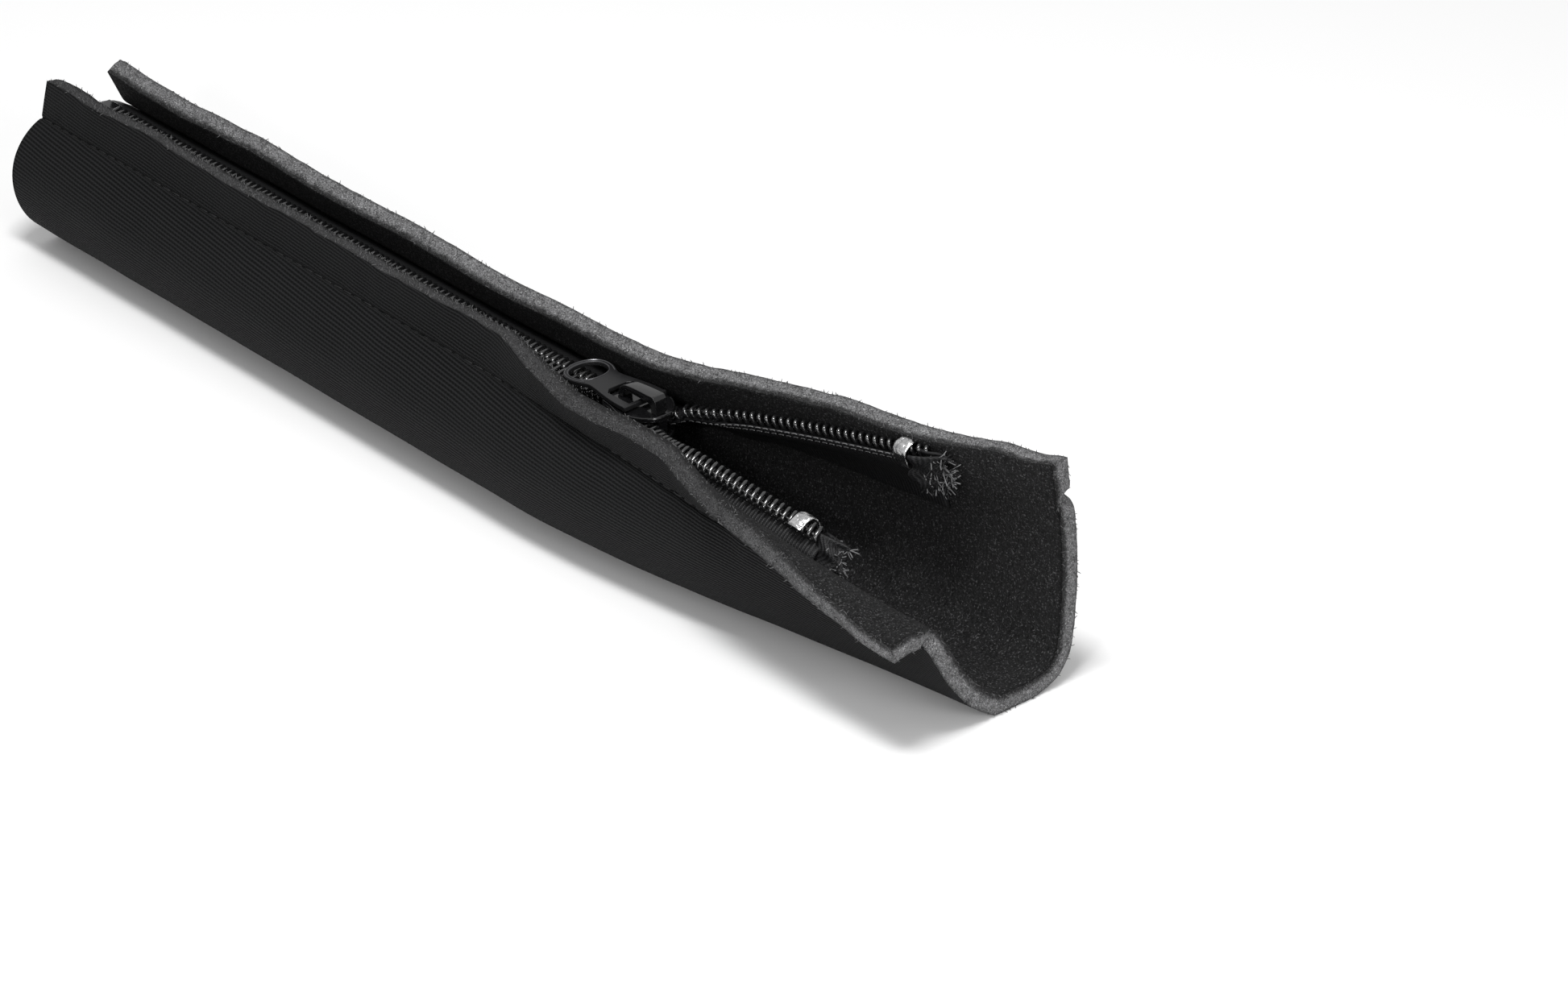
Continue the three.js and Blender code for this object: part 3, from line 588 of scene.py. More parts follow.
class Finish:
    """A material with one Principled shader."""

    def __init__(self, name, base, **constants):
        self.material = bpy.data.materials.new(name)
        self.material.use_nodes = True
        self.tree = self.material.node_tree
        self.shader = self.tree.nodes["Principled BSDF"]
        self.shader.inputs["Base Color"].default_value = base
        self.material.diffuse_color = base
        for key, value in constants.items():
            self.shader.inputs[key.replace("_", " ")].default_value = value

    def node(self, kind, settings=None, **inputs):
        """Any other node. Settings come first, then the values or links of its sockets."""
        node = self.tree.nodes.new(kind)
        for key, value in (settings or {}).items():
            setattr(node, key, value)
        for key, value in inputs.items():
            by_number = key[0] == "i" and key[1:].isdigit()
            target = node.inputs[int(key[1:]) if by_number else key.replace("_", " ")]
            if isinstance(value, Val):
                self.tree.links.new(value.socket, target)
            else:
                target.default_value = value
        return node

    def out(self, node, index=0):
        return Val(self.tree, node.outputs[index])

    def split(self, vector):
        node = self.node("ShaderNodeSeparateXYZ", i0=vector)
        return [self.out(node, k) for k in range(3)]

    def place(self):
        """Object coordinates, in mm."""
        coordinates = self.out(self.node("ShaderNodeTexCoord"), 3)
        scale = {"operation": "SCALE"}
        return self.out(self.node("ShaderNodeVectorMath", scale, i0=coordinates, Scale=1 / MM))

    def cloth(self):
        """The piece's own flat coordinates, in mm: along the length, and along the width."""
        flat = self.out(self.node("ShaderNodeUVMap", {"uv_map": "cloth"}))
        scale = {"operation": "SCALE"}
        return self.out(self.node("ShaderNodeVectorMath", scale, i0=flat, Scale=CLOTH_UNIT))

    def noise(self, vector, scale, detail=2.0, roughness=0.5):
        sizes = {"Scale": scale, "Detail": detail, "Roughness": roughness}
        return self.out(self.node("ShaderNodeTexNoise", Vector=vector, **sizes))

    def mix(self, low, high, factor):
        """A colour from low to high."""
        node = self.node("ShaderNodeMix", {"data_type": "RGBA"})
        for target, value in ((node.inputs[0], factor), (node.inputs[6], low), (node.inputs[7], high)):
            if isinstance(value, Val):
                self.tree.links.new(value.socket, target)
            else:
                target.default_value = value
        return Val(self.tree, node.outputs[2])

    def feed(self, key, value):
        self.tree.links.new(value.socket, self.shader.inputs[key])

    def bump(self, height, distance, strength=1.0):
        """Height 0 to 1 stands distance mm tall."""
        node = self.node("ShaderNodeBump", Strength=strength, Distance=distance * MM, Height=height)
        self.feed("Normal", self.out(node))

    def grain(self, size, relief):
        """Fine unevenness of the finish: grains size mm across, relief mm tall."""
        base = tuple(self.shader.inputs["Base Color"].default_value)
        rough = self.shader.inputs["Roughness"].default_value
        fine = self.noise(self.place(), 1 / size, 3.0, 0.6)
        broad = self.noise(self.place(), 0.2 / size, 2.0)
        uneven = fine * 0.6 + broad * 0.4
        self.feed("Base Color", self.mix(tint(base, 0.6), tint(base, 1.4), uneven))
        self.feed("Roughness", uneven * (0.8 * rough) + 0.6 * rough)
        self.bump(uneven, relief)


def tint(base, factor):
    return tuple(min(1.0, c * factor) for c in base[:3]) + (1.0,)


LOOP_PITCH = 0.85


def knit_finish():
    """Ribbed knit: fine ribs nearly along the length, each a row of small loops."""
    sheet = sheet_settings()
    base = colour("knit")
    gloss = {"Roughness": 0.8, "Specular_IOR_Level": 0.06, "Sheen_Weight": 0.03, "Sheen_Roughness": 0.3}
    f = Finish("ribbed_knit", base, **gloss)
    x, s, _ = f.split(f.cloth())
    skew = math.radians(sheet.rib_skew)
    wander = (f.noise(f.cloth(), 0.08, 1.0) - 0.5) * 0.5
    across = s * math.cos(skew) + x * math.sin(skew) + wander
    along = x * math.cos(skew) - s * math.sin(skew)
    rib = (across * (2 * math.pi / sheet.rib_pitch)).sin() * 0.5 + 0.5
    stagger = (across * (math.pi / sheet.rib_pitch)).sin() * 2.0
    loops = (along * (2 * math.pi / LOOP_PITCH) + stagger).sin() * 0.5 + 0.5
    fuzz = f.noise(f.place(), 5.0, 3.0, 0.7)
    cloud = f.noise(f.place(), 0.05, 2.0)
    shade = (rib.power(1.2) * 0.8 + loops * 0.14 + fuzz * 0.5 - 0.25 + cloud * 0.2).clamp(0.0, 1.3)
    f.feed("Base Color", f.mix(tint(base, 0.12), tint(base, 2.6), shade))
    f.bump(rib * 0.8 + loops * 0.2 + fuzz * 0.35, 0.24)
    return f.material


def fleece_finish():
    """Brushed fleece: a dark nap with pale specks of lint."""
    base = colour("fleece")
    gloss = {"Roughness": 0.95, "Specular_IOR_Level": 0.05, "Sheen_Weight": 0.03, "Sheen_Roughness": 0.5}
    f = Finish("black_fleece", base, **gloss)
    place = f.place()
    nap = f.noise(place, 2.6, 4.0, 0.75)
    streaks = f.node("ShaderNodeMapping", Vector=f.cloth(), Scale=(1.6, 0.35, 1.0))
    combed = f.noise(f.out(streaks), 1.3, 4.0, 0.8)
    specks = f.noise(place, 2.8, 3.0, 0.7).between(0.56, 0.68)
    ground = f.mix(tint(base, 0.35), tint(base, 2.4), (nap * 0.6 + combed * 0.7 - 0.15).between(0.36, 0.66))
    f.feed("Base Color", f.mix(ground, tint(base, 13.0), specks * 0.85))
    f.bump(nap * 0.7 + combed * 0.9, 0.6)
    return f.material


def foam_finish():
    """Cut foam: grey and grainy, with the two fabrics as dark lines at its borders."""
    base = colour("foam")
    f = Finish("cut_foam", base, Roughness=0.9, Specular_IOR_Level=0.1)
    place = f.place()
    grain = f.noise(place, 3.4, 4.0, 0.8)
    cells = f.node("ShaderNodeTexVoronoi", {"feature": "F1"}, Vector=place, Scale=3.2)
    pores = f.out(cells).between(0.12, 0.5)
    sparkle = f.noise(place, 3.1, 2.0, 0.65).between(0.57, 0.68)
    layer = f.out(f.node("ShaderNodeAttribute", {"attribute_name": "layer"}), 2)
    wobble = layer + (f.noise(place, 0.8, 4.0, 0.75) - 0.5) * 0.55
    skin = wobble.between(0.16, 0.02) * 0.5 + wobble.between(0.64, 0.84)
    patches = f.noise(place, 0.5, 3.0, 0.7)
    mottle = (grain * 2.3 + pores * 0.4 + patches * 1.0 - 1.4).clamp()
    ground = f.mix(tint(base, 0.12), tint(base, 2.0), mottle)
    lit = f.mix(ground, tint(base, 4.0), sparkle * 0.75)
    x, s, _ = f.split(f.cloth())
    # Painted shade: the near raw edge, turned away from the light, is darker than the cut end at the mouth
    near_edge = s.between(36.0, 40.0) * x.between(PANEL_HIGH[0] - 2.0, PANEL_HIGH[0] - 12.0)
    bordered = f.mix(lit, tint(base, 0.1), (skin * 0.85).clamp())
    f.feed("Base Color", f.mix(bordered, tint(base, 0.16), near_edge * 0.82))
    f.bump(grain * 0.9 + pores * 0.4 + patches * 0.5, 0.55)
    return f.material


def tape_finish():
    """Woven tape: a fine herringbone of warp and weft."""
    base = colour("tape")
    f = Finish("woven_tape", base, Roughness=0.5, Specular_IOR_Level=0.3)
    x, s, _ = f.split(f.cloth())
    warp = (s * (2 * math.pi / 0.62)).sin()
    weft = (x * (2 * math.pi / 0.7) + warp.math("SIGN") * 1.6).sin()
    over = (warp * weft) * 0.5 + 0.5
    fuzz = f.noise(f.place(), 5.0, 2.0, 0.6)
    shade = (over.power(1.6) * 0.8 + fuzz * 0.25 - 0.1).clamp()
    f.feed("Base Color", f.mix(tint(base, 0.4), tint(base, 4.2), shade))
    f.bump(over * 0.8 + fuzz * 0.3, 0.14)
    return f.material


def plain_finishes():
    """Finishes by key: name, colour, gloss, grain size and relief in mm."""
    pull, tape, foam = colour("pull"), colour("tape"), colour("foam")
    nylon_gloss = {"Roughness": 0.2, "Specular_IOR_Level": 1.0, "Coat_Weight": 1.0, "Coat_Roughness": 0.12}
    enamel_gloss = {"Roughness": 0.16, "Coat_Weight": 0.6, "Coat_Roughness": 0.06}
    thread_gloss = {"Roughness": 0.55, "Specular_IOR_Level": 0.3}
    table = {
        "nylon": ("black_nylon", colour("nylon"), nylon_gloss, 0.3, 0.01),
        "enamel": ("black_enamel", colour("enamel"), enamel_gloss, 0.35, 0.015),
        "pull": ("satin_enamel", pull, {"Roughness": 0.34, "Metallic": 0.35}, 0.2, 0.012),
        # Painted highlight: the pull's raised rims get a lighter, more metallic finish than the pull itself
        "worn_rim": ("worn_rim", tint(pull, 5.0), {"Roughness": 0.25, "Metallic": 0.6}, 0.3, 0.01),
        "spring": ("blued_steel", (0.12, 0.12, 0.125, 1), {"Roughness": 0.3, "Metallic": 1.0}, 0.25, 0.01),
        "fibre": ("cut_fibre", tint(foam, 0.55), {"Roughness": 0.8}, 0.8, 0.01),
        "thread": ("seam_thread", tint(tape, 1.2), thread_gloss, 0.25, 0.08),
        "pale_thread": ("coil_thread", (0.16, 0.16, 0.163, 1), {"Roughness": 0.5}, 0.2, 0.05),
    }
    made = {}
    for key, (name, base, gloss, size, relief) in table.items():
        plain = Finish(name, base, **gloss)
        plain.grain(size, relief)
        made[key] = plain.material
    return made


def aluminium_finish():
    """Bright aluminium, dented where the tool closed it, with painted dark reflections in its colour."""
    f = Finish("polished_aluminium", (0.85, 0.85, 0.86, 1), Roughness=0.2, Metallic=1.0)
    dents_and_painted_reflections = f.noise(f.place(), 0.7, 1.0)
    scuffs_and_painted_reflections = f.noise(f.place(), 3.0, 3.0, 0.7)
    # Painted reflections: the colour runs from dark to bright metal with the dents and scuffs, standing in
    # for the dark reflections of the polished crimp
    shade = (dents_and_painted_reflections * 0.8 + scuffs_and_painted_reflections * 0.6).between(0.45, 0.8)
    f.feed("Base Color", f.mix((0.35, 0.35, 0.36, 1), (0.95, 0.95, 0.95, 1), shade))
    f.bump(dents_and_painted_reflections + scuffs_and_painted_reflections * 0.15, 0.5)
    return f.material


FINISHES = {}


def finish(name):
    if not FINISHES:
        FINISHES.update(plain_finishes())
        FINISHES["bright"] = aluminium_finish()
        FINISHES["knit"] = knit_finish()
        FINISHES["fleece"] = fleece_finish()
        FINISHES["foam"] = foam_finish()
        FINISHES["tape"] = tape_finish()
    return FINISHES[name]


# Geometry Nodes: one small piece repeated at points that carry their own direction


def repeat_tree():
    """Points, a piece and its size in; the piece at every point, turned by the point's aim."""
    tree = bpy.data.node_groups.new("repeat_along", "GeometryNodeTree")
    face = tree.interface
    face.new_socket("Points", in_out="INPUT", socket_type="NodeSocketGeometry")
    face.new_socket("Piece", in_out="INPUT", socket_type="NodeSocketObject")
    face.new_socket("Size", in_out="INPUT", socket_type="NodeSocketFloat").default_value = 1.0
    face.new_socket("Unevenness", in_out="INPUT", socket_type="NodeSocketFloat").default_value = 0.0
    face.new_socket("Seed", in_out="INPUT", socket_type="NodeSocketInt").default_value = 7
    face.new_socket("Finish", in_out="INPUT", socket_type="NodeSocketMaterial")
    face.new_socket("Result", in_out="OUTPUT", socket_type="NodeSocketGeometry")
    add, link = tree.nodes.new, tree.links.new
    given, made = add("NodeGroupInput"), add("NodeGroupOutput")
    piece = add("GeometryNodeObjectInfo")
    aim = add("GeometryNodeInputNamedAttribute")
    aim.data_type = "FLOAT_VECTOR"
    aim.inputs["Name"].default_value = "aim"
    turn = add("FunctionNodeEulerToRotation")
    vary = add("FunctionNodeRandomValue")
    vary.data_type = "FLOAT"
    low, high, size = add("ShaderNodeMath"), add("ShaderNodeMath"), add("ShaderNodeMath")
    low.operation, high.operation, size.operation = "SUBTRACT", "ADD", "MULTIPLY"
    low.inputs[0].default_value = high.inputs[0].default_value = 1.0
    link(given.outputs["Unevenness"], low.inputs[1])
    link(given.outputs["Unevenness"], high.inputs[1])
    link(low.outputs[0], vary.inputs[2])
    link(high.outputs[0], vary.inputs[3])
    link(given.outputs["Seed"], vary.inputs["Seed"])
    link(given.outputs["Size"], size.inputs[0])
    link(vary.outputs[1], size.inputs[1])
    place = add("GeometryNodeInstanceOnPoints")
    link(given.outputs["Points"], place.inputs["Points"])
    link(given.outputs["Piece"], piece.inputs["Object"])
    link(piece.outputs["Geometry"], place.inputs["Instance"])
    link(aim.outputs["Attribute"], turn.inputs[0])
    link(turn.outputs[0], place.inputs["Rotation"])
    link(size.outputs[0], place.inputs["Scale"])
    real, paint = add("GeometryNodeRealizeInstances"), add("GeometryNodeSetMaterial")
    link(place.outputs[0], real.inputs[0])
    link(real.outputs[0], paint.inputs["Geometry"])
    link(given.outputs["Finish"], paint.inputs["Material"])
    link(paint.outputs[0], made.inputs[0])
    return tree


TREES = {}


def repeated(name, stations, seed_points, seed_faces, material, size=1.0, unevenness=0.0, seed=7):
    """The seed shape at every (point, Matrix) station, as one plain mesh."""
    if "repeat" not in TREES:
        TREES["repeat"] = repeat_tree()
    tree = TREES["repeat"]
    shape = new_piece(name + "_shape", seed_points, seed_faces, [material])
    mesh = bpy.data.meshes.new(name)
    mesh.from_pydata([tuple(c * MM for c in p) for p, _ in stations], [], [])
    aim = mesh.attributes.new("aim", "FLOAT_VECTOR", "POINT")
    angles = [c for _, turn in stations for c in turn.to_euler("XYZ")]
    aim.data.foreach_set("vector", angles)
    carrier = bpy.data.objects.new(name, mesh)
    bpy.context.scene.collection.objects.link(carrier)
    modifier = carrier.modifiers.new("repeat", "NODES")
    modifier.node_group = tree
    keys = {item.name: item.identifier for item in tree.interface.items_tree if item.in_out == "INPUT"}
    modifier[keys["Piece"]] = shape
    modifier[keys["Size"]] = size
    modifier[keys["Unevenness"]] = unevenness
    modifier[keys["Seed"]] = seed
    modifier[keys["Finish"]] = material
    piece = baked(carrier, name, material)
    bpy.data.objects.remove(shape, do_unlink=True)
    piece.name = piece.data.name = name
    piece.data.polygons.foreach_set("use_smooth", [True] * len(piece.data.polygons))
    return piece


def facing(along, out):
    """Rotation with local X along the first direction and local Z near the second."""
    x = Vector(along).normalized()
    z = Vector(out)
    z = (z - x * z.dot(x)).normalized()
    y = z.cross(x)
    return Matrix((x, y, z)).transposed()


# The sheet


def waver(x, pitch, seed):
    """Smooth random value near -1 to 1 that changes over about pitch mm."""
    return noise.noise(Vector((x / pitch, seed * 7.31, 0.5))) * 1.8


def panel_columns(wall):
    """Arc lengths of the mesh on one side, closer together round the stitch row and the raw edge."""
    lower = np.linspace(0, wall.seam - 3, 34, endpoint=False)
    seam = np.linspace(wall.seam - 3, wall.seam + 3, 16, endpoint=False)
    lip = np.linspace(wall.seam + 3, wall.length, 9)
    return np.concatenate([lower, seam, lip])


def panel_section(x, name):
    """Outer, middle and inner points of one side at x, as lists of (x, y, z), and their arcs."""
    wall = wall_at(x, name)
    sheet = sheet_settings()
    half = sheet.thickness / 2
    arcs = panel_columns(wall)
    mouth = ramp(x, NOSE, PANEL_HIGH[0])
    # The raw edge wavers, and the fabric dips and puckers at the stitch row
    edge = waver(x, 9.0, wall.sign) * 0.35 + waver(x, 2.6, wall.sign + 3) * 0.12
    press = 0.55 + 0.45 * abs(math.sin(math.pi * x / sheet.stitch))
    pull_in = math.exp((x - PANEL_HIGH[0]) / 3.0)
    groove = np.exp(-(((arcs - wall.seam) / 0.6) ** 2)) * press * (0.5 + 0.25 * mouth)
    beside = np.exp(-(((arcs - wall.seam) / 4.5) ** 2))
    pucker = waver(x, 3.2, wall.sign + 11) * beside * (0.1 + 0.2 * mouth)
    soft = np.array([0.16 * noise.noise(Vector((x / 17.0, s / 13.0, wall.sign * 5.0))) for s in arcs])
    angle = np.interp(arcs, wall.s, wall.angle)
    way = np.stack([wall.sign * np.cos(angle), np.sin(angle)], axis=-1)
    lift = (edge * np.clip((arcs - wall.seam) / sheet.seam_allowance, 0, 1) ** 2)[:, None] * way
    outer = wall.at(arcs, half + soft + pucker - groove) + lift
    inner = wall.at(arcs, -half + soft) + lift
    # The cut end is ragged, and notched where the stitch row runs out
    tuck = 1.4 * np.exp(-(((arcs - wall.seam) / 1.3) ** 2)) * math.exp((x - PANEL_HIGH[0]) / 2.2)
    ragged = np.array([0.25 * (1 + noise.noise(Vector((s / 1.6, wall.sign * 3.0, 0)))) for s in arcs])
    back = (tuck + ragged) * pull_in
    outer = [(x - b, y, z) for b, (y, z) in zip(back, outer)]
    inner = [(x - 0.6 * b, y, z) for b, (y, z) in zip(back, inner)]
    return outer, inner, arcs


EDGE_ROWS = 5  # rows across the sheet's thickness at a raw edge or a cut end


def across(a, b, bulge, seed):
    """Rows between an outer and an inner point, bulging slightly and roughened."""
    a, b = Vector(a), Vector(b)
    rows = []
    for k in range(1, EDGE_ROWS):
        t = k / EDGE_ROWS
        p = a.lerp(b, t) + bulge * (math.sin(math.pi * t) * 0.22)
        rough = sheet_settings().fray * noise.noise(p * 1.9 + Vector((seed, 0, 0))) * 2.0
        rows.append(p + bulge * rough)
    return rows


def build_edge_fuzz(edges):
    """Short fibres that stand out of the cut edges. An edge is a list of (outer, inner, way out)."""
    sheet = sheet_settings()
    rng = random.Random(5)
    stations = []
    for edge in edges:
        for (a, b, out), (c, d, _) in zip(edge, edge[1:]):
            a, b, c, d = Vector(a), Vector(b), Vector(c), Vector(d)
            for _ in range(int((c - a).length * sheet.fibres + rng.random())):
                t = rng.random()
                p = a.lerp(c, t).lerp(b.lerp(d, t), rng.random())
                way = out * rng.uniform(0.5, 1.0)
                way += Vector((rng.uniform(-1, 1), rng.uniform(-1, 1), rng.uniform(-1, 1))) * 0.75
                stations.append((p, facing(way, (0.3, rng.uniform(-1, 1), rng.uniform(-1, 1)))))
    points, faces = tube([(-0.1, 0, 0), (0.2, 0, 0.05), (0.5, 0, 0)], (0.075, 0.06, 0.03), 3)
    fuzz = repeated("edge_fuzz", stations, points, faces, finish("fibre"), unevenness=0.5, seed=4)
    return dress(fuzz, "sleeve", "knit")


def build_sheet():
    stations = np.linspace(PANEL_LOW[0], PANEL_HIGH[0], 261)
    near_edge, far_edge = [], []
    points, layers, flats = [], [], []
    rings = []
    for x in stations:
        far_outer, far_inner, far_arcs = panel_section(x, "far")
        near_outer, near_inner, near_arcs = panel_section(x, "near")
        outer = far_outer[::-1] + near_outer[1:]
        inner = far_inner[::-1] + near_inner[1:]
        arcs = [-s for s in far_arcs[::-1]] + list(near_arcs[1:])
        ring = []

        def put(p, layer, arc):
            ring.append(len(points))
            points.append(tuple(p))
            layers.append(layer)
            flats.append((x / CLOTH_UNIT, arc / CLOTH_UNIT))

        for p, arc in zip(outer, arcs):
            put(p, 0.0, arc)
        way = (Vector(near_outer[-1]) - Vector(near_outer[-3])).normalized()
        near_edge.append((near_outer[-1], near_inner[-1], way))
        for k, p in enumerate(across(near_outer[-1], near_inner[-1], way, 3.0)):
            put(p, (k + 1) / EDGE_ROWS, arcs[-1])
        for p, arc in zip(inner[::-1], arcs[::-1]):
            put(p, 1.0, arc)
        way = (Vector(far_outer[-1]) - Vector(far_outer[-3])).normalized()
        far_edge.append((far_outer[-1], far_inner[-1], way))
        for k, p in enumerate(reversed(across(far_outer[-1], far_inner[-1], way, 9.0))):
            put(p, 1 - (k + 1) / EDGE_ROWS, arcs[0])
        rings.append(ring)
    width = len(arcs)
    around = len(rings[0])
    faces, indices = [], []
    for i in range(len(rings) - 1):
        a, b = rings[i], rings[i + 1]
        for j in range(around):
            k = (j + 1) % around
            faces.append((a[j], b[j], b[k], a[k]))
            if j < width - 1:
                indices.append(0)
            elif width + EDGE_ROWS - 2 < j < 2 * width + EDGE_ROWS - 2:
                indices.append(1)
            else:
                indices.append(2)
    # Cut ends
    for ring, sign in ((rings[0], -1), (rings[-1], 1)):
        rows = [ring[:width]]
        inner_row = ring[width + EDGE_ROWS - 1 : 2 * width + EDGE_ROWS - 1][::-1]
        middle = []
        for j in range(width):
            if j in (0, width - 1):
                loop = ring[width : width + EDGE_ROWS - 1] if j else ring[2 * width + EDGE_ROWS - 1 :][::-1]
                middle.append(list(loop))
                continue
            column = []
            way = Vector((sign, 0, 0))
            for k, p in enumerate(across(points[ring[j]], points[inner_row[j]], way, 21.0)):
                column.append(len(points))
                points.append(tuple(p))
                layers.append((k + 1) / EDGE_ROWS)
                flats.append(flats[ring[j]])
            middle.append(column)
        for k in range(EDGE_ROWS - 1):
            rows.append([column[k] for column in middle])
        rows.append(inner_row)
        for upper, lower in zip(rows, rows[1:]):
            for j in range(width - 1):
                quad = (upper[j], upper[j + 1], lower[j + 1], lower[j])
                faces.append(quad if sign > 0 else quad[::-1])
                indices.append(2)
    uvs = [flats[v] for face in faces for v in face]
    finishes = [finish("knit"), finish("fleece"), finish("foam")]
    sheet = new_piece("sleeve_sheet", points, faces, finishes, indices, uvs, layers)
    dress(sheet, "sleeve", "knit", "sleeve_panel")
    settings = sheet_settings()
    settings.width * MM
    mouth_edge = [(p, q, Vector((1, 0, 0))) for p, q in zip(outer, inner)]
    build_edge_fuzz((near_edge, far_edge, mouth_edge))
    return sheet


def build_seam(name):
    """The lockstitch row along one seam, one thread bead to a stitch."""
    sheet = sheet_settings()
    half = sheet.thickness / 2
    stations = []
    x = PANEL_LOW[0] + 2
    while x < PANEL_HIGH[0] - 3:
        ends = []
        for at in (x - 0.5, x + 0.5):
            wall = wall_at(at, name)
            y, z = wall.at(wall.seam, half - 0.42)
            ends.append(Vector((at, y, z)))
        wall = wall_at(x, name)
        angle = np.interp(wall.seam, wall.s, wall.angle)
        out = Vector((0, wall.sign * math.sin(angle), -math.cos(angle)))
        stations.append(((ends[0] + ends[1]) / 2, facing(ends[1] - ends[0], out)))
        x += sheet.stitch
    reach = sheet.stitch * 0.42
    path = [(-reach, 0, -0.3), (-reach * 0.7, 0, 0.0), (0, 0, 0.1), (reach * 0.7, 0, 0.0), (reach, 0, -0.3)]
    points, faces = tube(path, 0.17, 6)
    seam = repeated("seam_" + name, stations, points, faces, finish("thread"), unevenness=0.06, seed=3)
    return dress(seam, "sleeve", "tape")


# The zip


def strand_range(name):
    low = cad("coil_" + name)[0][0] + 0.6
    return low, NOSE + SIDES[name]["end"]


def coil_turn():
    """One turn of the flattened coil, its head towards -Y, its heel towards +Y."""
    zipper = zip_settings()
    reach = (zipper.coil_width - zipper.wire) / 2
    tall = (zipper.coil_height - zipper.wire) / 2
    path, radii = [], []
    steps = 20
    for i in range(steps + 1):
        a = 2 * math.pi * i / steps
        c, s = math.cos(a), math.sin(a)
        u = reach * math.copysign(abs(c) ** 0.72, c)
        v = tall * math.copysign(abs(s) ** 0.72, s)
        path.append((zipper.pitch * (i / steps - 0.5), u, v))
        radii.append(zipper.wire / 2 * (1 + 0.12 * max(0.0, -c)))
    return tube(path, radii, 7)


def strand_stations(name, start, end, step, u=0.0, v=0.0):
    """Points along a strand, with local X along it, Y out along the tape and Z up from the tape."""
    stations = []
    sign = SIDES[name]["sign"]
    x = start
    while x < end:
        here, before, after = Strand(x, name), Strand(x - 0.4, name), Strand(x + 0.4, name)
        tangent = Vector((0.8, *(after.place(u, v) - before.place(u, v)))).normalized() * sign
        point = Vector((x, *here.place(u, v)))
        stations.append((point, facing(tangent, Vector((0, *here.up)))))
        x += step
    return stations


def build_coil(name):
    zipper = zip_settings()
    start, stop = strand_range(name)
    end = stop + STOP_LENGTH + zipper.loose_turns * zipper.pitch
    points, faces = coil_turn()
    stations = strand_stations(name, start, end, zipper.pitch)
    coil = repeated("coil_turns_" + name, stations, points, faces, finish("nylon"))
    return dress(coil, "sleeve", "nylon", "coil_" + name)


def build_coil_thread(name):
    """The thread that sews the coil to its tape, seen between the turns and under the tape."""
    zipper = zip_settings()
    start, stop = strand_range(name)
    below = -(zipper.coil_height / 2 + COIL_SEAT + TAPE_THICKNESS + 0.04)
    pieces = []
    path = [(-0.5, 0, -0.05), (-0.25, 0, 0.05), (0.25, 0, 0.05), (0.5, 0, -0.05)]
    points, faces = tube(path, 0.09, 5)
    for k, (u, v) in enumerate(((0.35, 0.1), (-0.25, below), (0.6, below))):
        stations = strand_stations(name, start + zipper.pitch / 2, stop + 2, zipper.pitch, u, v)
        label, thread = f"coil_thread_{name}_{k}", finish("pale_thread")
        pieces.append(repeated(label, stations, points, faces, thread, unevenness=0.1, seed=k))
    return dress(joined("coil_thread_" + name, pieces), "sleeve", "tape")


def rounded_line(points, passes=2):
    """Corners cut off a line of points, so that it bends softly."""
    line = [np.array(p, dtype=float) for p in points]
    for _ in range(passes):
        soft = [line[0]]
        for a, b in zip(line, line[1:]):
            soft += [a * 0.75 + b * 0.25, a * 0.25 + b * 0.75]
        line = soft + [line[-1]]
    return line


def tape_line(x, name):
    """The tape in cross-section: under the coil, out to the wall, and down along it."""
    zipper = zip_settings()
    strand = Strand(x, name)
    wall = strand.wall
    drop = zipper.coil_height / 2 + COIL_SEAT + TAPE_THICKNESS / 2
    reach_closed = SHOULDER_HALF + RUNNING_GAP - strand.lateral
    flat = reach_closed * (1 - strand.free) + (zipper.coil_width / 2 + RUNNING_GAP) * strand.free
    off = -(wall.thickness / 2 + WALL_GAP + TAPE_THICKNESS / 2)
    line = [strand.place(TAPE_EDGE - strand.lateral, -drop), strand.place(flat, -drop)]
    line.append(wall.at(wall.seam - SEAM_BEND, off))
    used = sum(np.linalg.norm(b - a) for a, b in zip(line, line[1:]))
    line.append(wall.at(wall.seam - SEAM_BEND - (TAPE_WIDTH - used), off))
    return rounded_line(line)


def build_tape(name):
    sign = SIDES[name]["sign"]
    end = cad("zip_tape_" + name)[1][0]
    half = TAPE_THICKNESS / 2
    stations = np.arange(PANEL_LOW[0] + 0.2, end - 3, 1.6)
    points, faces, flats = [], [], []
    rings = []
    for x in stations:
        line = tape_line(x, name)
        arcs = np.concatenate([[0], np.cumsum([np.linalg.norm(b - a) for a, b in zip(line, line[1:])])])
        ring = []
        for face in (1, -1):
            row = []
            for i, p in enumerate(line):
                run = line[min(i + 1, len(line) - 1)] - line[max(i - 1, 0)]
                run = run / np.linalg.norm(run)
                out = np.array([-run[1], run[0]]) * sign * face * half
                if i in (0, len(line) - 1):
                    out *= 0.55
                row.append(((x, *(p + out)), arcs[i]))
            ring += row if face > 0 else row[::-1]
        base = len(points)
        points += [p for p, _ in ring]
        flats += [(x / CLOTH_UNIT, arc / CLOTH_UNIT) for _, arc in ring]
        rings.append(range(base, base + len(ring)))
    count = len(rings[0])
    for a, b in zip(rings, rings[1:]):
        for j in range(count):
            k = (j + 1) % count
            faces.append((a[j], a[k], b[k], b[j]))
    faces.append(tuple(reversed(rings[0])))
    faces.append(tuple(rings[-1]))
    if sign < 0:
        faces = [face[::-1] for face in faces]
    uvs = [flats[v] for face in faces for v in face]
    tape = new_piece("tape_" + name, points, faces, [finish("tape")], None, uvs)
    dress(tape, "sleeve", "tape", "zip_tape_" + name)
    return tape


# The way down the tape's end in (y, z), and its width
TAPE_HANG = {"near": (-0.5, -0.87, 9.5), "far": (0.2, -0.98, 7.0)}
FOLD_LENGTH = 14.0


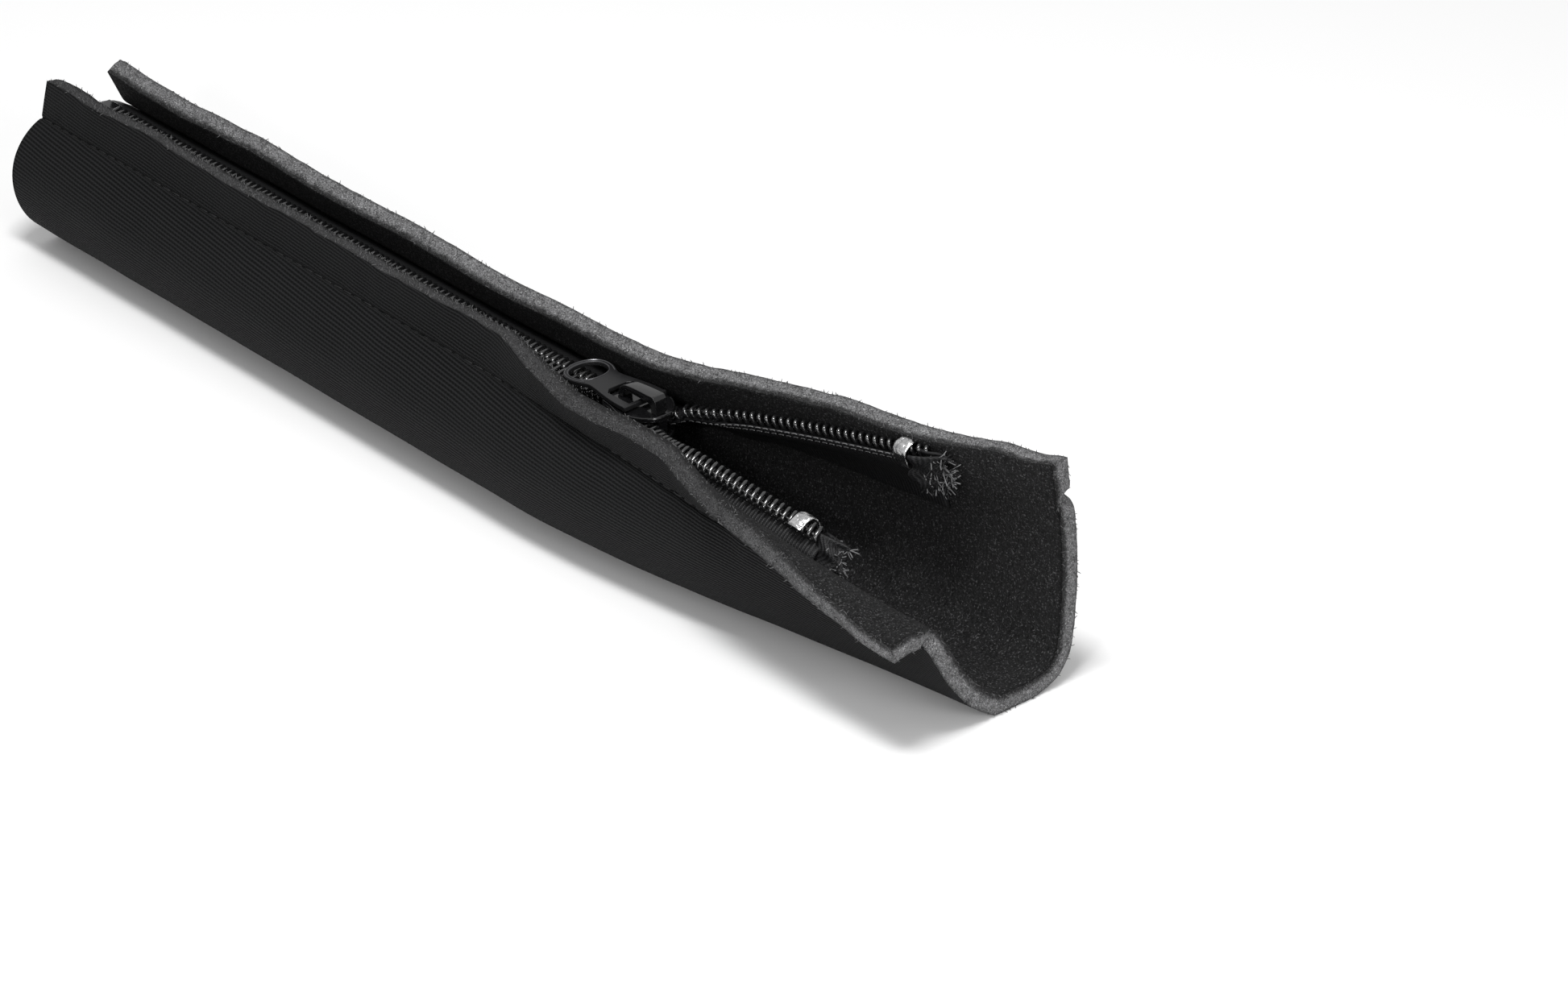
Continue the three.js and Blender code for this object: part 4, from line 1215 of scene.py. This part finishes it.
def build_tape_end(name):
    """The tape's end past its stop, folded back under itself and frayed."""
    zipper = zip_settings()
    rng = random.Random(11 if name == "near" else 12)
    end = cad("zip_tape_" + name)[1][0]
    start = NOSE + SIDES[name]["end"] + STOP_LENGTH + 1.0
    drop = zipper.coil_height / 2 + COIL_SEAT
    down_y, down_z, wide = TAPE_HANG[name]
    down = Vector((0, down_y, down_z)).normalized()

    def spot(t, w):
        """Point on the fold: t runs forward, round the fold and back, w goes down the width."""
        lap = 1 - abs(2 * t - 1) ** 1.5
        x = start + (end - start) * lap + 0.8 * math.sin(1.3 * w + t * 5)
        strand = Strand(min(x, end), name)
        top = Vector((x, *strand.place(-1.3, -drop)))
        out = Vector((0, -down.z, down.y)) * strand.wall.sign
        folded = Vector((t * 3, w * 0.55, strand.wall.sign * 2.0))
        crumple = noise.noise(folded) * 0.9 + noise.noise(folded * 3.1) * 0.35
        return top + down * w + out * (crumple + 2.4 * (t - 0.5)) + Vector((crumple * 0.8, 0, 0))

    rows, cols = 34, 22
    grid, flats, faces = [], [], []
    for i in range(rows):
        for j in range(cols):
            t, w = i / (rows - 1), wide * j / (cols - 1)
            grid.append(spot(t, w))
            flats.append((FOLD_LENGTH * t / CLOTH_UNIT, w / CLOTH_UNIT))
    for i in range(rows - 1):
        for j in range(cols - 1):
            a = i * cols + j
            faces.append((a, a + 1, a + cols + 1, a + cols))
    label = "tape_fold_" + name
    flap = new_piece(label, grid, faces, [finish("tape")], None, [flats[v] for f in faces for v in f])
    solid = flap.modifiers.new("thickness", "SOLIDIFY")
    solid.thickness = 0.42 * MM
    solid.offset = 0
    pieces = [baked(flap, label, finish("tape"))]
    points, faces, shades = [], [], []
    for _ in range(zipper.fray_threads):
        w = wide * rng.random() ** 0.8
        p = spot(rng.uniform(0.12, 0.8), w)
        way = Vector((rng.uniform(0.0, 1.0), rng.uniform(-0.6, 0.6), rng.uniform(-0.8, 0.5))).normalized()
        curl = Vector((rng.uniform(-1, 1), rng.uniform(-1, 1), rng.uniform(-1, 1))) * 0.7
        long = rng.uniform(0.7, 2.1)
        path = [p + way * long * k / 4 + curl * (k / 4) ** 2 for k in range(5)]
        more, sides = tube(path, rng.uniform(0.06, 0.12), 4)
        faces += [tuple(v + len(points) for v in face) for face in sides]
        shades += [int(rng.random() < 0.55)] * len(sides)
        points += more
    flats = [(points[v][0] / CLOTH_UNIT, points[v][1] / CLOTH_UNIT) for f in faces for v in f]
    threads = [finish("thread"), finish("pale_thread")]
    pieces.append(new_piece("fray_" + name, points, faces, threads, shades, flats))
    return dress(joined("tape_end_" + name, pieces), "sleeve", "tape")


def build_top_stop(name):
    """A bright crimp closed round the end of a strand."""
    zipper = zip_settings()
    start = NOSE + SIDES[name]["end"]
    strand = Strand(start + STOP_LENGTH / 2, name)
    top = zipper.coil_height / 2 + 0.35
    bottom = -(zipper.coil_height / 2 + COIL_SEAT + TAPE_THICKNESS + 0.35)
    head, heel = -(zipper.coil_width / 2 + 0.35), zipper.coil_width / 2 + 0.1
    radius = (top - bottom) / 2 - 0.25
    line = [(heel, top)]
    for start_angle, middle in ((90, top - radius), (180, bottom + radius)):
        for a in np.radians(np.linspace(start_angle, start_angle + 90, 8)):
            line.append((head + radius * (1 + math.cos(a)), middle + radius * math.sin(a)))
    line.append((heel, bottom))
    rows = np.linspace(0, STOP_LENGTH, 9)
    points, faces = [], []
    for k, d in enumerate(rows):
        swell = 0.1 * math.sin(math.pi * k / (len(rows) - 1))
        for u, v in line:
            p = strand.place(u - swell * (u < 0), v + swell * (1 if v > 0 else -1))
            points.append((start + d, p[0], p[1]))
    wide = len(line)
    for i in range(len(rows) - 1):
        for j in range(wide - 1):
            a = i * wide + j
            faces.append((a, a + 1, a + wide + 1, a + wide))
    shell = new_piece("crimp_" + name, points, faces, [finish("bright")])
    solid = shell.modifiers.new("thickness", "SOLIDIFY")
    solid.thickness, solid.offset = 0.36 * MM, 0
    soften = shell.modifiers.new("edges", "BEVEL")
    soften.width, soften.segments, soften.limit_method = 0.12 * MM, 2, "ANGLE"
    crimp = baked(shell, "crimp_" + name, finish("bright"))
    return dress(crimp, "sleeve", "bright_metal", "top_stop_" + name)


def block(name, low, high, bevel, material):
    x0, y0, z0 = low
    x1, y1, z1 = high
    return plate(name, [(x0, y0), (x1, y0), (x1, y1), (x0, y1)], z0, z1, bevel, material)


def build_bottom_stop():
    low, high = cad("bottom_stop")
    tape_mid = levels()[0]
    half = TAPE_THICKNESS / 2 + 0.05
    enamel = finish("enamel")
    bar = block("bar", (low[0], low[1], tape_mid + half), high, 0.35, enamel)
    clench = block("clench", low, (high[0], high[1], tape_mid - half), 0.12, enamel)
    web_low, web_high = (low[0] + 0.3, -0.7, tape_mid - 0.5), (high[0] - 0.3, 0.7, tape_mid + 0.5)
    web = block("web", web_low, web_high, 0.05, enamel)
    return dress(joined("end_crimp", [bar, clench, web]), "sleeve", "enamel", "bottom_stop")


# The slider


WEDGE_LENGTH, WEDGE_HALF = 5.2, 0.7
RIM_RADIUS = 0.23
RIDGES, RIDGE_PITCH, RIDGE_RADIUS = 3, 0.34, 0.14


def shield(inset=0.0):
    """Plan of the slider's plates, widest at the shoulders, round at the nose."""
    shoulder, rear = SHOULDER_HALF - inset, REAR_HALF - inset
    x0, x1, nose = NOSE - SLIDER_LENGTH + inset, NOSE - 4.2, NOSE - inset
    half = []
    half += bezier((x0, 0), (x0, rear * 0.8), (x0, rear), (x0 + 1.1, rear), 8)
    half += bezier((x0 + 1.1, rear), (x0 + 4, rear + 0.2), (x1 - 3.5, shoulder), (x1 - 1.5, shoulder), 10)
    tip = (nose, 1.4 - inset * 0.3)
    half += bezier((x1 - 1.5, shoulder), (x1 + 1.4, shoulder), (nose - 0.7, 3.0), tip, 16)
    half.append((nose, 0))
    mirror = [(x, -y) for x, y in half[1:-1]]
    return half + mirror[::-1]


def build_slider():
    tape_mid, _, plate_top = levels()
    enamel = finish("enamel")
    plate_bottom = plate_top - PLATE
    base_top = tape_mid - TAPE_THICKNESS / 2 - RUNNING_GAP
    parts = [plate("top_plate", shield(), plate_bottom, plate_top, 0.16, enamel)]
    parts.append(plate("base_plate", shield(), base_top - PLATE, base_top, 0.16, enamel))
    tip, front = (NOSE - WEDGE_LENGTH, 0), NOSE - 0.3
    wedge = bezier(tip, (NOSE - 3.7, -0.4), (NOSE - 2, -WEDGE_HALF), (front, -WEDGE_HALF), 8)
    wedge += bezier((front, WEDGE_HALF), (NOSE - 2, WEDGE_HALF), (NOSE - 3.7, 0.4), tip, 8)
    parts.append(plate("wedge", wedge, base_top - 0.1, plate_bottom + 0.1, 0.05, enamel))
    # Rolled rim round the front of the top plate
    rim = [(x, y) for x, y in shield(0.16) if x > PIVOT[0] + 0.9]
    upper = sorted([p for p in rim if p[1] >= 0], key=lambda p: (p[0], -p[1]))
    lower = sorted([p for p in rim if p[1] < 0], key=lambda p: (-p[0], p[1]))
    points, faces = tube([(x, y, plate_top + 0.02) for x, y in upper + lower], RIM_RADIUS, 8)
    parts.append(new_piece("rim", points, faces, [enamel]))
    # Side flanges that keep the coils in
    for sign in (-1, 1):
        plan = [(11.6, 3.5), (11, 4.15), (5.7, 5.15), (4.4, 5.0), (4.6, 4.75), (5.8, 4.6)]
        line = [(NOSE - back, sign * aside) for back, aside in plan]
        flange_bottom = tape_mid + TAPE_THICKNESS / 2 + RUNNING_GAP
        parts.append(plate("flange", line, flange_bottom, plate_bottom + 0.1, 0.06, enamel))
    # Ridged nose
    for k in range(RIDGES):
        x, z = NOSE - 0.06 - 0.04 * k, plate_top - 0.1 - RIDGE_PITCH * k
        points, faces = tube([(x, y, z) for y in (-1.25, -1.0, 0, 1.0, 1.25)], RIDGE_RADIUS, 8)
        parts.append(new_piece("ridge", points, faces, [enamel]))
    body = joined("slider_casting", parts)
    shade_by_angle(body, 40)
    return dress(body, "slider", "enamel", "slider_body")


def standing(name, profile, half_width, bevel, material, taper=None):
    """A piece with a side profile in (x, z), its width in y given by taper(x, z) if there is one."""
    faces = [tuple(range(len(profile))), tuple(reversed(range(len(profile), 2 * len(profile))))]
    points = []
    for sign in (-1, 1):
        for x, z in profile:
            w = half_width if taper is None else taper(x, z)
            points.append((x, sign * w, z))
    n = len(profile)
    for i in range(n):
        j = (i + 1) % n
        faces.append((i, i + n, j + n, j))
    piece = new_piece(name, points, faces, [material])
    soften = piece.modifiers.new("edges", "BEVEL")
    soften.width, soften.segments, soften.limit_method = bevel * MM, 4, "ANGLE"
    soften.angle_limit = math.radians(28)
    soften.harden_normals = False
    done = baked(piece, name, material)
    shade_by_angle(done, 50)
    return done


def build_crown():
    low, high = cad("slider_crown")
    rear, front, base, top = low[0], high[0], low[2], high[2]
    spring_top = cad("lock_spring")[1][2]
    arch = spring_top + 0.08
    profile = [(front - 0.05, base), (front, base + 0.5), (front - 0.22, top - 0.62)]
    profile += [(front - 0.75, top), (front - 1.4, top)]
    crest = (rear + 2.2, top - 0.55)
    profile += bezier((front - 1.4, top), (front - 4, top - 0.1), (rear + 3.6, top - 0.3), crest, 8)
    profile += bezier(crest, (rear + 0.9, top - 0.85), (rear + 0.15, base + 1.3), (rear, base), 8)
    profile += [(rear, base), (rear + 1.3, base), (rear + 1.45, arch - 0.5), (rear + 1.9, arch)]
    profile += [(front - 2.0, arch), (front - 1.5, arch - 0.5), (front - 1.5, base)]

    def width(x, z):
        at_foot = ramp(z, base, top - 0.6)
        return 1.12 + 0.22 * at_foot * ramp(x, rear, front)

    crown = standing("crown_bridge", profile[::-1], 1.3, 0.13, finish("enamel"), width)
    return dress(crown, "slider", "enamel", "slider_crown")


SPRING_THICKNESS = 0.25


def build_spring():
    low, high = cad("lock_spring")
    rear, front, foot, top = low[0], high[0], low[2], high[2]
    under, behind = top - SPRING_THICKNESS, front - SPRING_THICKNESS
    profile = [(rear, under), (behind, under), (behind, foot)]
    profile += [(front, foot), (front, top), (rear, top)]
    spring = standing("leaf_spring", profile, 0.78, 0.05, finish("spring"))
    return dress(spring, "slider", "spring_steel", "lock_spring")


def ellipse(cx, rx, ry, start=0.0, end=360.0, count=48, power=1.0):
    line = []
    for a in np.linspace(math.radians(start), math.radians(end), count, endpoint=abs(end - start) < 359.9):
        c, s = math.cos(a), math.sin(a)
        line.append((cx + rx * math.copysign(abs(c) ** power, c), ry * math.copysign(abs(s) ** power, s)))
    return line


PULL_THICKNESS = 0.8
PULL_SLOPE = 2.2
PULL_WAIST = 3.35
RING_LENGTH = 3.7  # of the pull's round end
RING_BAND = 1.05
HOLE_HALF = 2.85
RIB_RADIUS = 0.14  # of the raised rims on the pull


def build_pull():
    """The pull, drawn flat with its crossbar at the origin and its ring towards -X, then laid back."""
    thick, half, waist = PULL_THICKNESS, PULL_HALF, PULL_WAIST
    slope = math.radians(PULL_SLOPE)
    length = (PIVOT[0] - cad("pull_tab")[0][0]) / math.cos(slope)
    ring_x = -(length - RING_LENGTH)
    hole_x = -length + RING_BAND + HOLE_HALF
    side = bezier((0.4, half), (-1.0, half), (-2.0, half + 0.02), (-3.0, half - 0.12), 6)
    neck = (ring_x + 4.6, waist)
    side += bezier((-3.0, half - 0.12), (-6.0, half - 0.4), (ring_x + 6.4, waist + 0.1), neck, 10)
    side += bezier(neck, (ring_x + 3.2, waist - 0.1), (ring_x + 2.6, half), (ring_x, half), 12)
    end = ellipse(ring_x, RING_LENGTH, half, 90, 180, 20)
    upper = side + end
    outline = upper + [(x, -y) for x, y in upper[::-1]]
    outline = [p for i, p in enumerate(outline) if i == 0 or math.dist(p, outline[i - 1]) > 1e-3]
    hole = ellipse(hole_x, HOLE_HALF, half - RING_BAND, power=0.9)
    window = [(-0.45, -2.9), (-0.45, 2.9), (-5.9, 2.9), (-6.9, 1.9), (-6.9, -1.9), (-5.9, -2.9)]
    tab = plate("tab", outline, -thick / 2, thick / 2, 0.13, finish("pull"), [hole, window])
    parts = [tab]
    # Raised rims round the ring and the hole, in the lighter rim finish that paints their highlight
    ring = [(x, y) for x, y in outline if x < ring_x + 3.4]
    lower = [p for p in ring if p[1] <= 0]
    upper = [p for p in ring if p[1] > 0]
    rim_path = upper + lower
    shrink = [(ring_x + (x - ring_x) * 0.93, y * 0.935) for x, y in rim_path]
    points, faces = tube([(x, y, thick / 2 - 0.02) for x, y in shrink], RIB_RADIUS, 6)
    parts.append(new_piece("outer_rim", points, faces, [finish("worn_rim")]))
    inner = ellipse(hole_x, HOLE_HALF + 0.2, half - RING_BAND + 0.2, power=0.9)
    points, faces = tube([(x, y, thick / 2 - 0.04) for x, y in inner], RIB_RADIUS, 6, closed=True)
    parts.append(new_piece("inner_rim", points, faces, [finish("worn_rim")]))
    # The crossbar's ends stand a little proud of the arms
    for sign in (-1, 1):
        points, faces = tube([(0, sign * (half - 0.6), 0), (0, sign * (half + 0.05), 0)], 0.42, 12)
        parts.append(new_piece("pin_end", points, faces, [finish("pull")]))
    pull = joined("pull_ring", parts)
    pull.data.transform(Matrix.Rotation(-slope, 4, "Y"))
    pull.data.transform(Matrix.Translation(Vector(PIVOT) * MM))
    shade_by_angle(pull, 40)
    return dress(pull, "pull", "satin_metal", "pull_tab")


# The stage


FLOOR_HALF = 2.5  # metres
# Name, place and width in metres, and watts. Each lamp is turned to LAMP_TARGET.
LAMPS = (
    ("key", (0.16, -0.2, 0.82), 0.24, 4.8),
    ("front", (0.36, -0.6, 0.45), 0.12, 1.0),
    ("end", (0.8, -0.12, 0.42), 0.4, 1.5),
)
LAMP_TARGET = Vector((0.03, 0, 0.02))
CAMERA_TARGET = Vector((79.2, -3.1, 28.3)) * MM  # looked at from one metre away


def build_stage():
    stage = stage_settings()
    scene = bpy.context.scene
    scene.view_settings.view_transform = "Standard"
    size = FLOOR_HALF
    floor_mesh = bpy.data.meshes.new("floor")
    corners = [(-size, -size, 0), (size, -size, 0), (size, size, 0), (-size, size, 0)]
    floor_mesh.from_pydata(corners, [], [(0, 1, 2, 3)])
    floor = bpy.data.objects.new("floor", floor_mesh)
    pale = Finish("pale_floor", (0.93, 0.93, 0.93, 1), Roughness=0.9)
    pale.shader.inputs["Specular IOR Level"].default_value = 0.1
    floor_mesh.materials.append(pale.material)
    scene.collection.objects.link(floor)
    for name, at, width, power in LAMPS:
        lamp = bpy.data.lights.new(name, "AREA")
        lamp.shape, lamp.size, lamp.size_y, lamp.energy = "RECTANGLE", width, width * 0.6, power
        light = bpy.data.objects.new(name, lamp)
        light.location = at
        light.rotation_euler = (LAMP_TARGET - Vector(at)).to_track_quat("-Z", "Y").to_euler()
        scene.collection.objects.link(light)
    world = bpy.data.worlds.new("studio")
    world.use_nodes = True
    tree = world.node_tree
    even = tree.nodes["Background"]
    even.inputs["Color"].default_value = (1, 1, 1, 1)
    even.inputs["Strength"].default_value = stage.daylight
    kinds = ("Background", "LightPath", "MixShader")
    backdrop, seen, mix = (tree.nodes.new("ShaderNode" + kind) for kind in kinds)
    backdrop.inputs["Color"].default_value = (1, 1, 1, 1)
    tree.links.new(seen.outputs["Is Camera Ray"], mix.inputs[0])
    tree.links.new(even.outputs[0], mix.inputs[1])
    tree.links.new(backdrop.outputs[0], mix.inputs[2])
    tree.links.new(mix.outputs[0], tree.nodes["World Output"].inputs["Surface"])
    scene.world = world


def build_camera():
    stage = stage_settings()
    azimuth, elevation = math.radians(stage.azimuth), math.radians(stage.elevation)
    level = math.cos(elevation)
    back = Vector((math.sin(azimuth) * level, -math.cos(azimuth) * level, math.sin(elevation)))
    lens = bpy.data.cameras.new("camera")
    lens.lens, lens.sensor_width, lens.sensor_fit = stage.lens, 36.0, "HORIZONTAL"
    lens.clip_start, lens.clip_end = 0.01, 20.0
    camera = bpy.data.objects.new("camera", lens)
    camera.location = CAMERA_TARGET + back
    camera.rotation_euler = (-back).to_track_quat("-Z", "Y").to_euler()
    bpy.context.scene.collection.objects.link(camera)
    bpy.context.scene.camera = camera


# Operators and panel


class StageOperator(bpy.types.Operator):
    """Camera, floor and light"""

    bl_idname = "sleeve.stage"
    bl_label = "Stage"

    def execute(self, context):
        build_camera()
        build_stage()
        return {"FINISHED"}


class SheetOperator(bpy.types.Operator):
    """The foam sheet"""

    bl_idname = "sleeve.sheet"
    bl_label = "Sheet"

    def execute(self, context):
        build_sheet()
        return {"FINISHED"}


class SeamsOperator(bpy.types.Operator):
    """Both stitch rows"""

    bl_idname = "sleeve.seams"
    bl_label = "Seams"

    def execute(self, context):
        for name in SIDES:
            build_seam(name)
        return {"FINISHED"}


class TapesOperator(bpy.types.Operator):
    """Both zip tapes and their frayed ends"""

    bl_idname = "sleeve.tapes"
    bl_label = "Tapes"

    def execute(self, context):
        for name in SIDES:
            build_tape(name)
            build_tape_end(name)
        return {"FINISHED"}


class CoilsOperator(bpy.types.Operator):
    """Both coils and the thread that holds them"""

    bl_idname = "sleeve.coils"
    bl_label = "Coils"

    def execute(self, context):
        for name in SIDES:
            build_coil(name)
            build_coil_thread(name)
        return {"FINISHED"}


class StopsOperator(bpy.types.Operator):
    """The crimps at the ends of the zip"""

    bl_idname = "sleeve.stops"
    bl_label = "Stops"

    def execute(self, context):
        for name in SIDES:
            build_top_stop(name)
        build_bottom_stop()
        return {"FINISHED"}


class SliderOperator(bpy.types.Operator):
    """Slider body, crown and spring"""

    bl_idname = "sleeve.slider"
    bl_label = "Slider"

    def execute(self, context):
        build_slider()
        build_crown()
        build_spring()
        return {"FINISHED"}


class PullOperator(bpy.types.Operator):
    """The pull tab"""

    bl_idname = "sleeve.pull"
    bl_label = "Pull"

    def execute(self, context):
        build_pull()
        return {"FINISHED"}


OPERATORS = (
    StageOperator, SheetOperator, SeamsOperator, TapesOperator,
    CoilsOperator, StopsOperator, SliderOperator, PullOperator,
)


class SleevePanel(bpy.types.Panel):
    """Builds the sleeve, piece by piece"""

    bl_idname = "VIEW3D_PT_sleeve"
    bl_label = "Zippered cable sleeve"
    bl_space_type = "VIEW_3D"
    bl_region_type = "UI"
    bl_category = "Sleeve"

    def draw(self, context):
        layout = self.layout
        for operator in OPERATORS:
            layout.operator(operator.bl_idname)
        for group in (getattr(context.scene, key) for key in SCENE_GROUPS):
            box = layout.box()
            for key in group.bl_rna.properties.keys():
                if key not in ("rna_type", "name"):
                    box.prop(group, key)


CLASSES = (*SETTINGS, *OPERATORS, SleevePanel)
SCENE_GROUPS = dict(zip(("sleeve_sheet", "sleeve_zip", "sleeve_colours", "sleeve_stage"), SETTINGS))


def register():
    for item in CLASSES:
        bpy.utils.register_class(item)
    for key, group in SCENE_GROUPS.items():
        setattr(bpy.types.Scene, key, PointerProperty(type=group))


def unregister():
    for key in SCENE_GROUPS:
        delattr(bpy.types.Scene, key)
    for item in reversed(CLASSES):
        bpy.utils.unregister_class(item)


def main():
    register()
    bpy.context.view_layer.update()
    for operator in OPERATORS:
        group, name = operator.bl_idname.split(".")
        getattr(getattr(bpy.ops, group), name)()


if __name__ == "__main__":
    main()
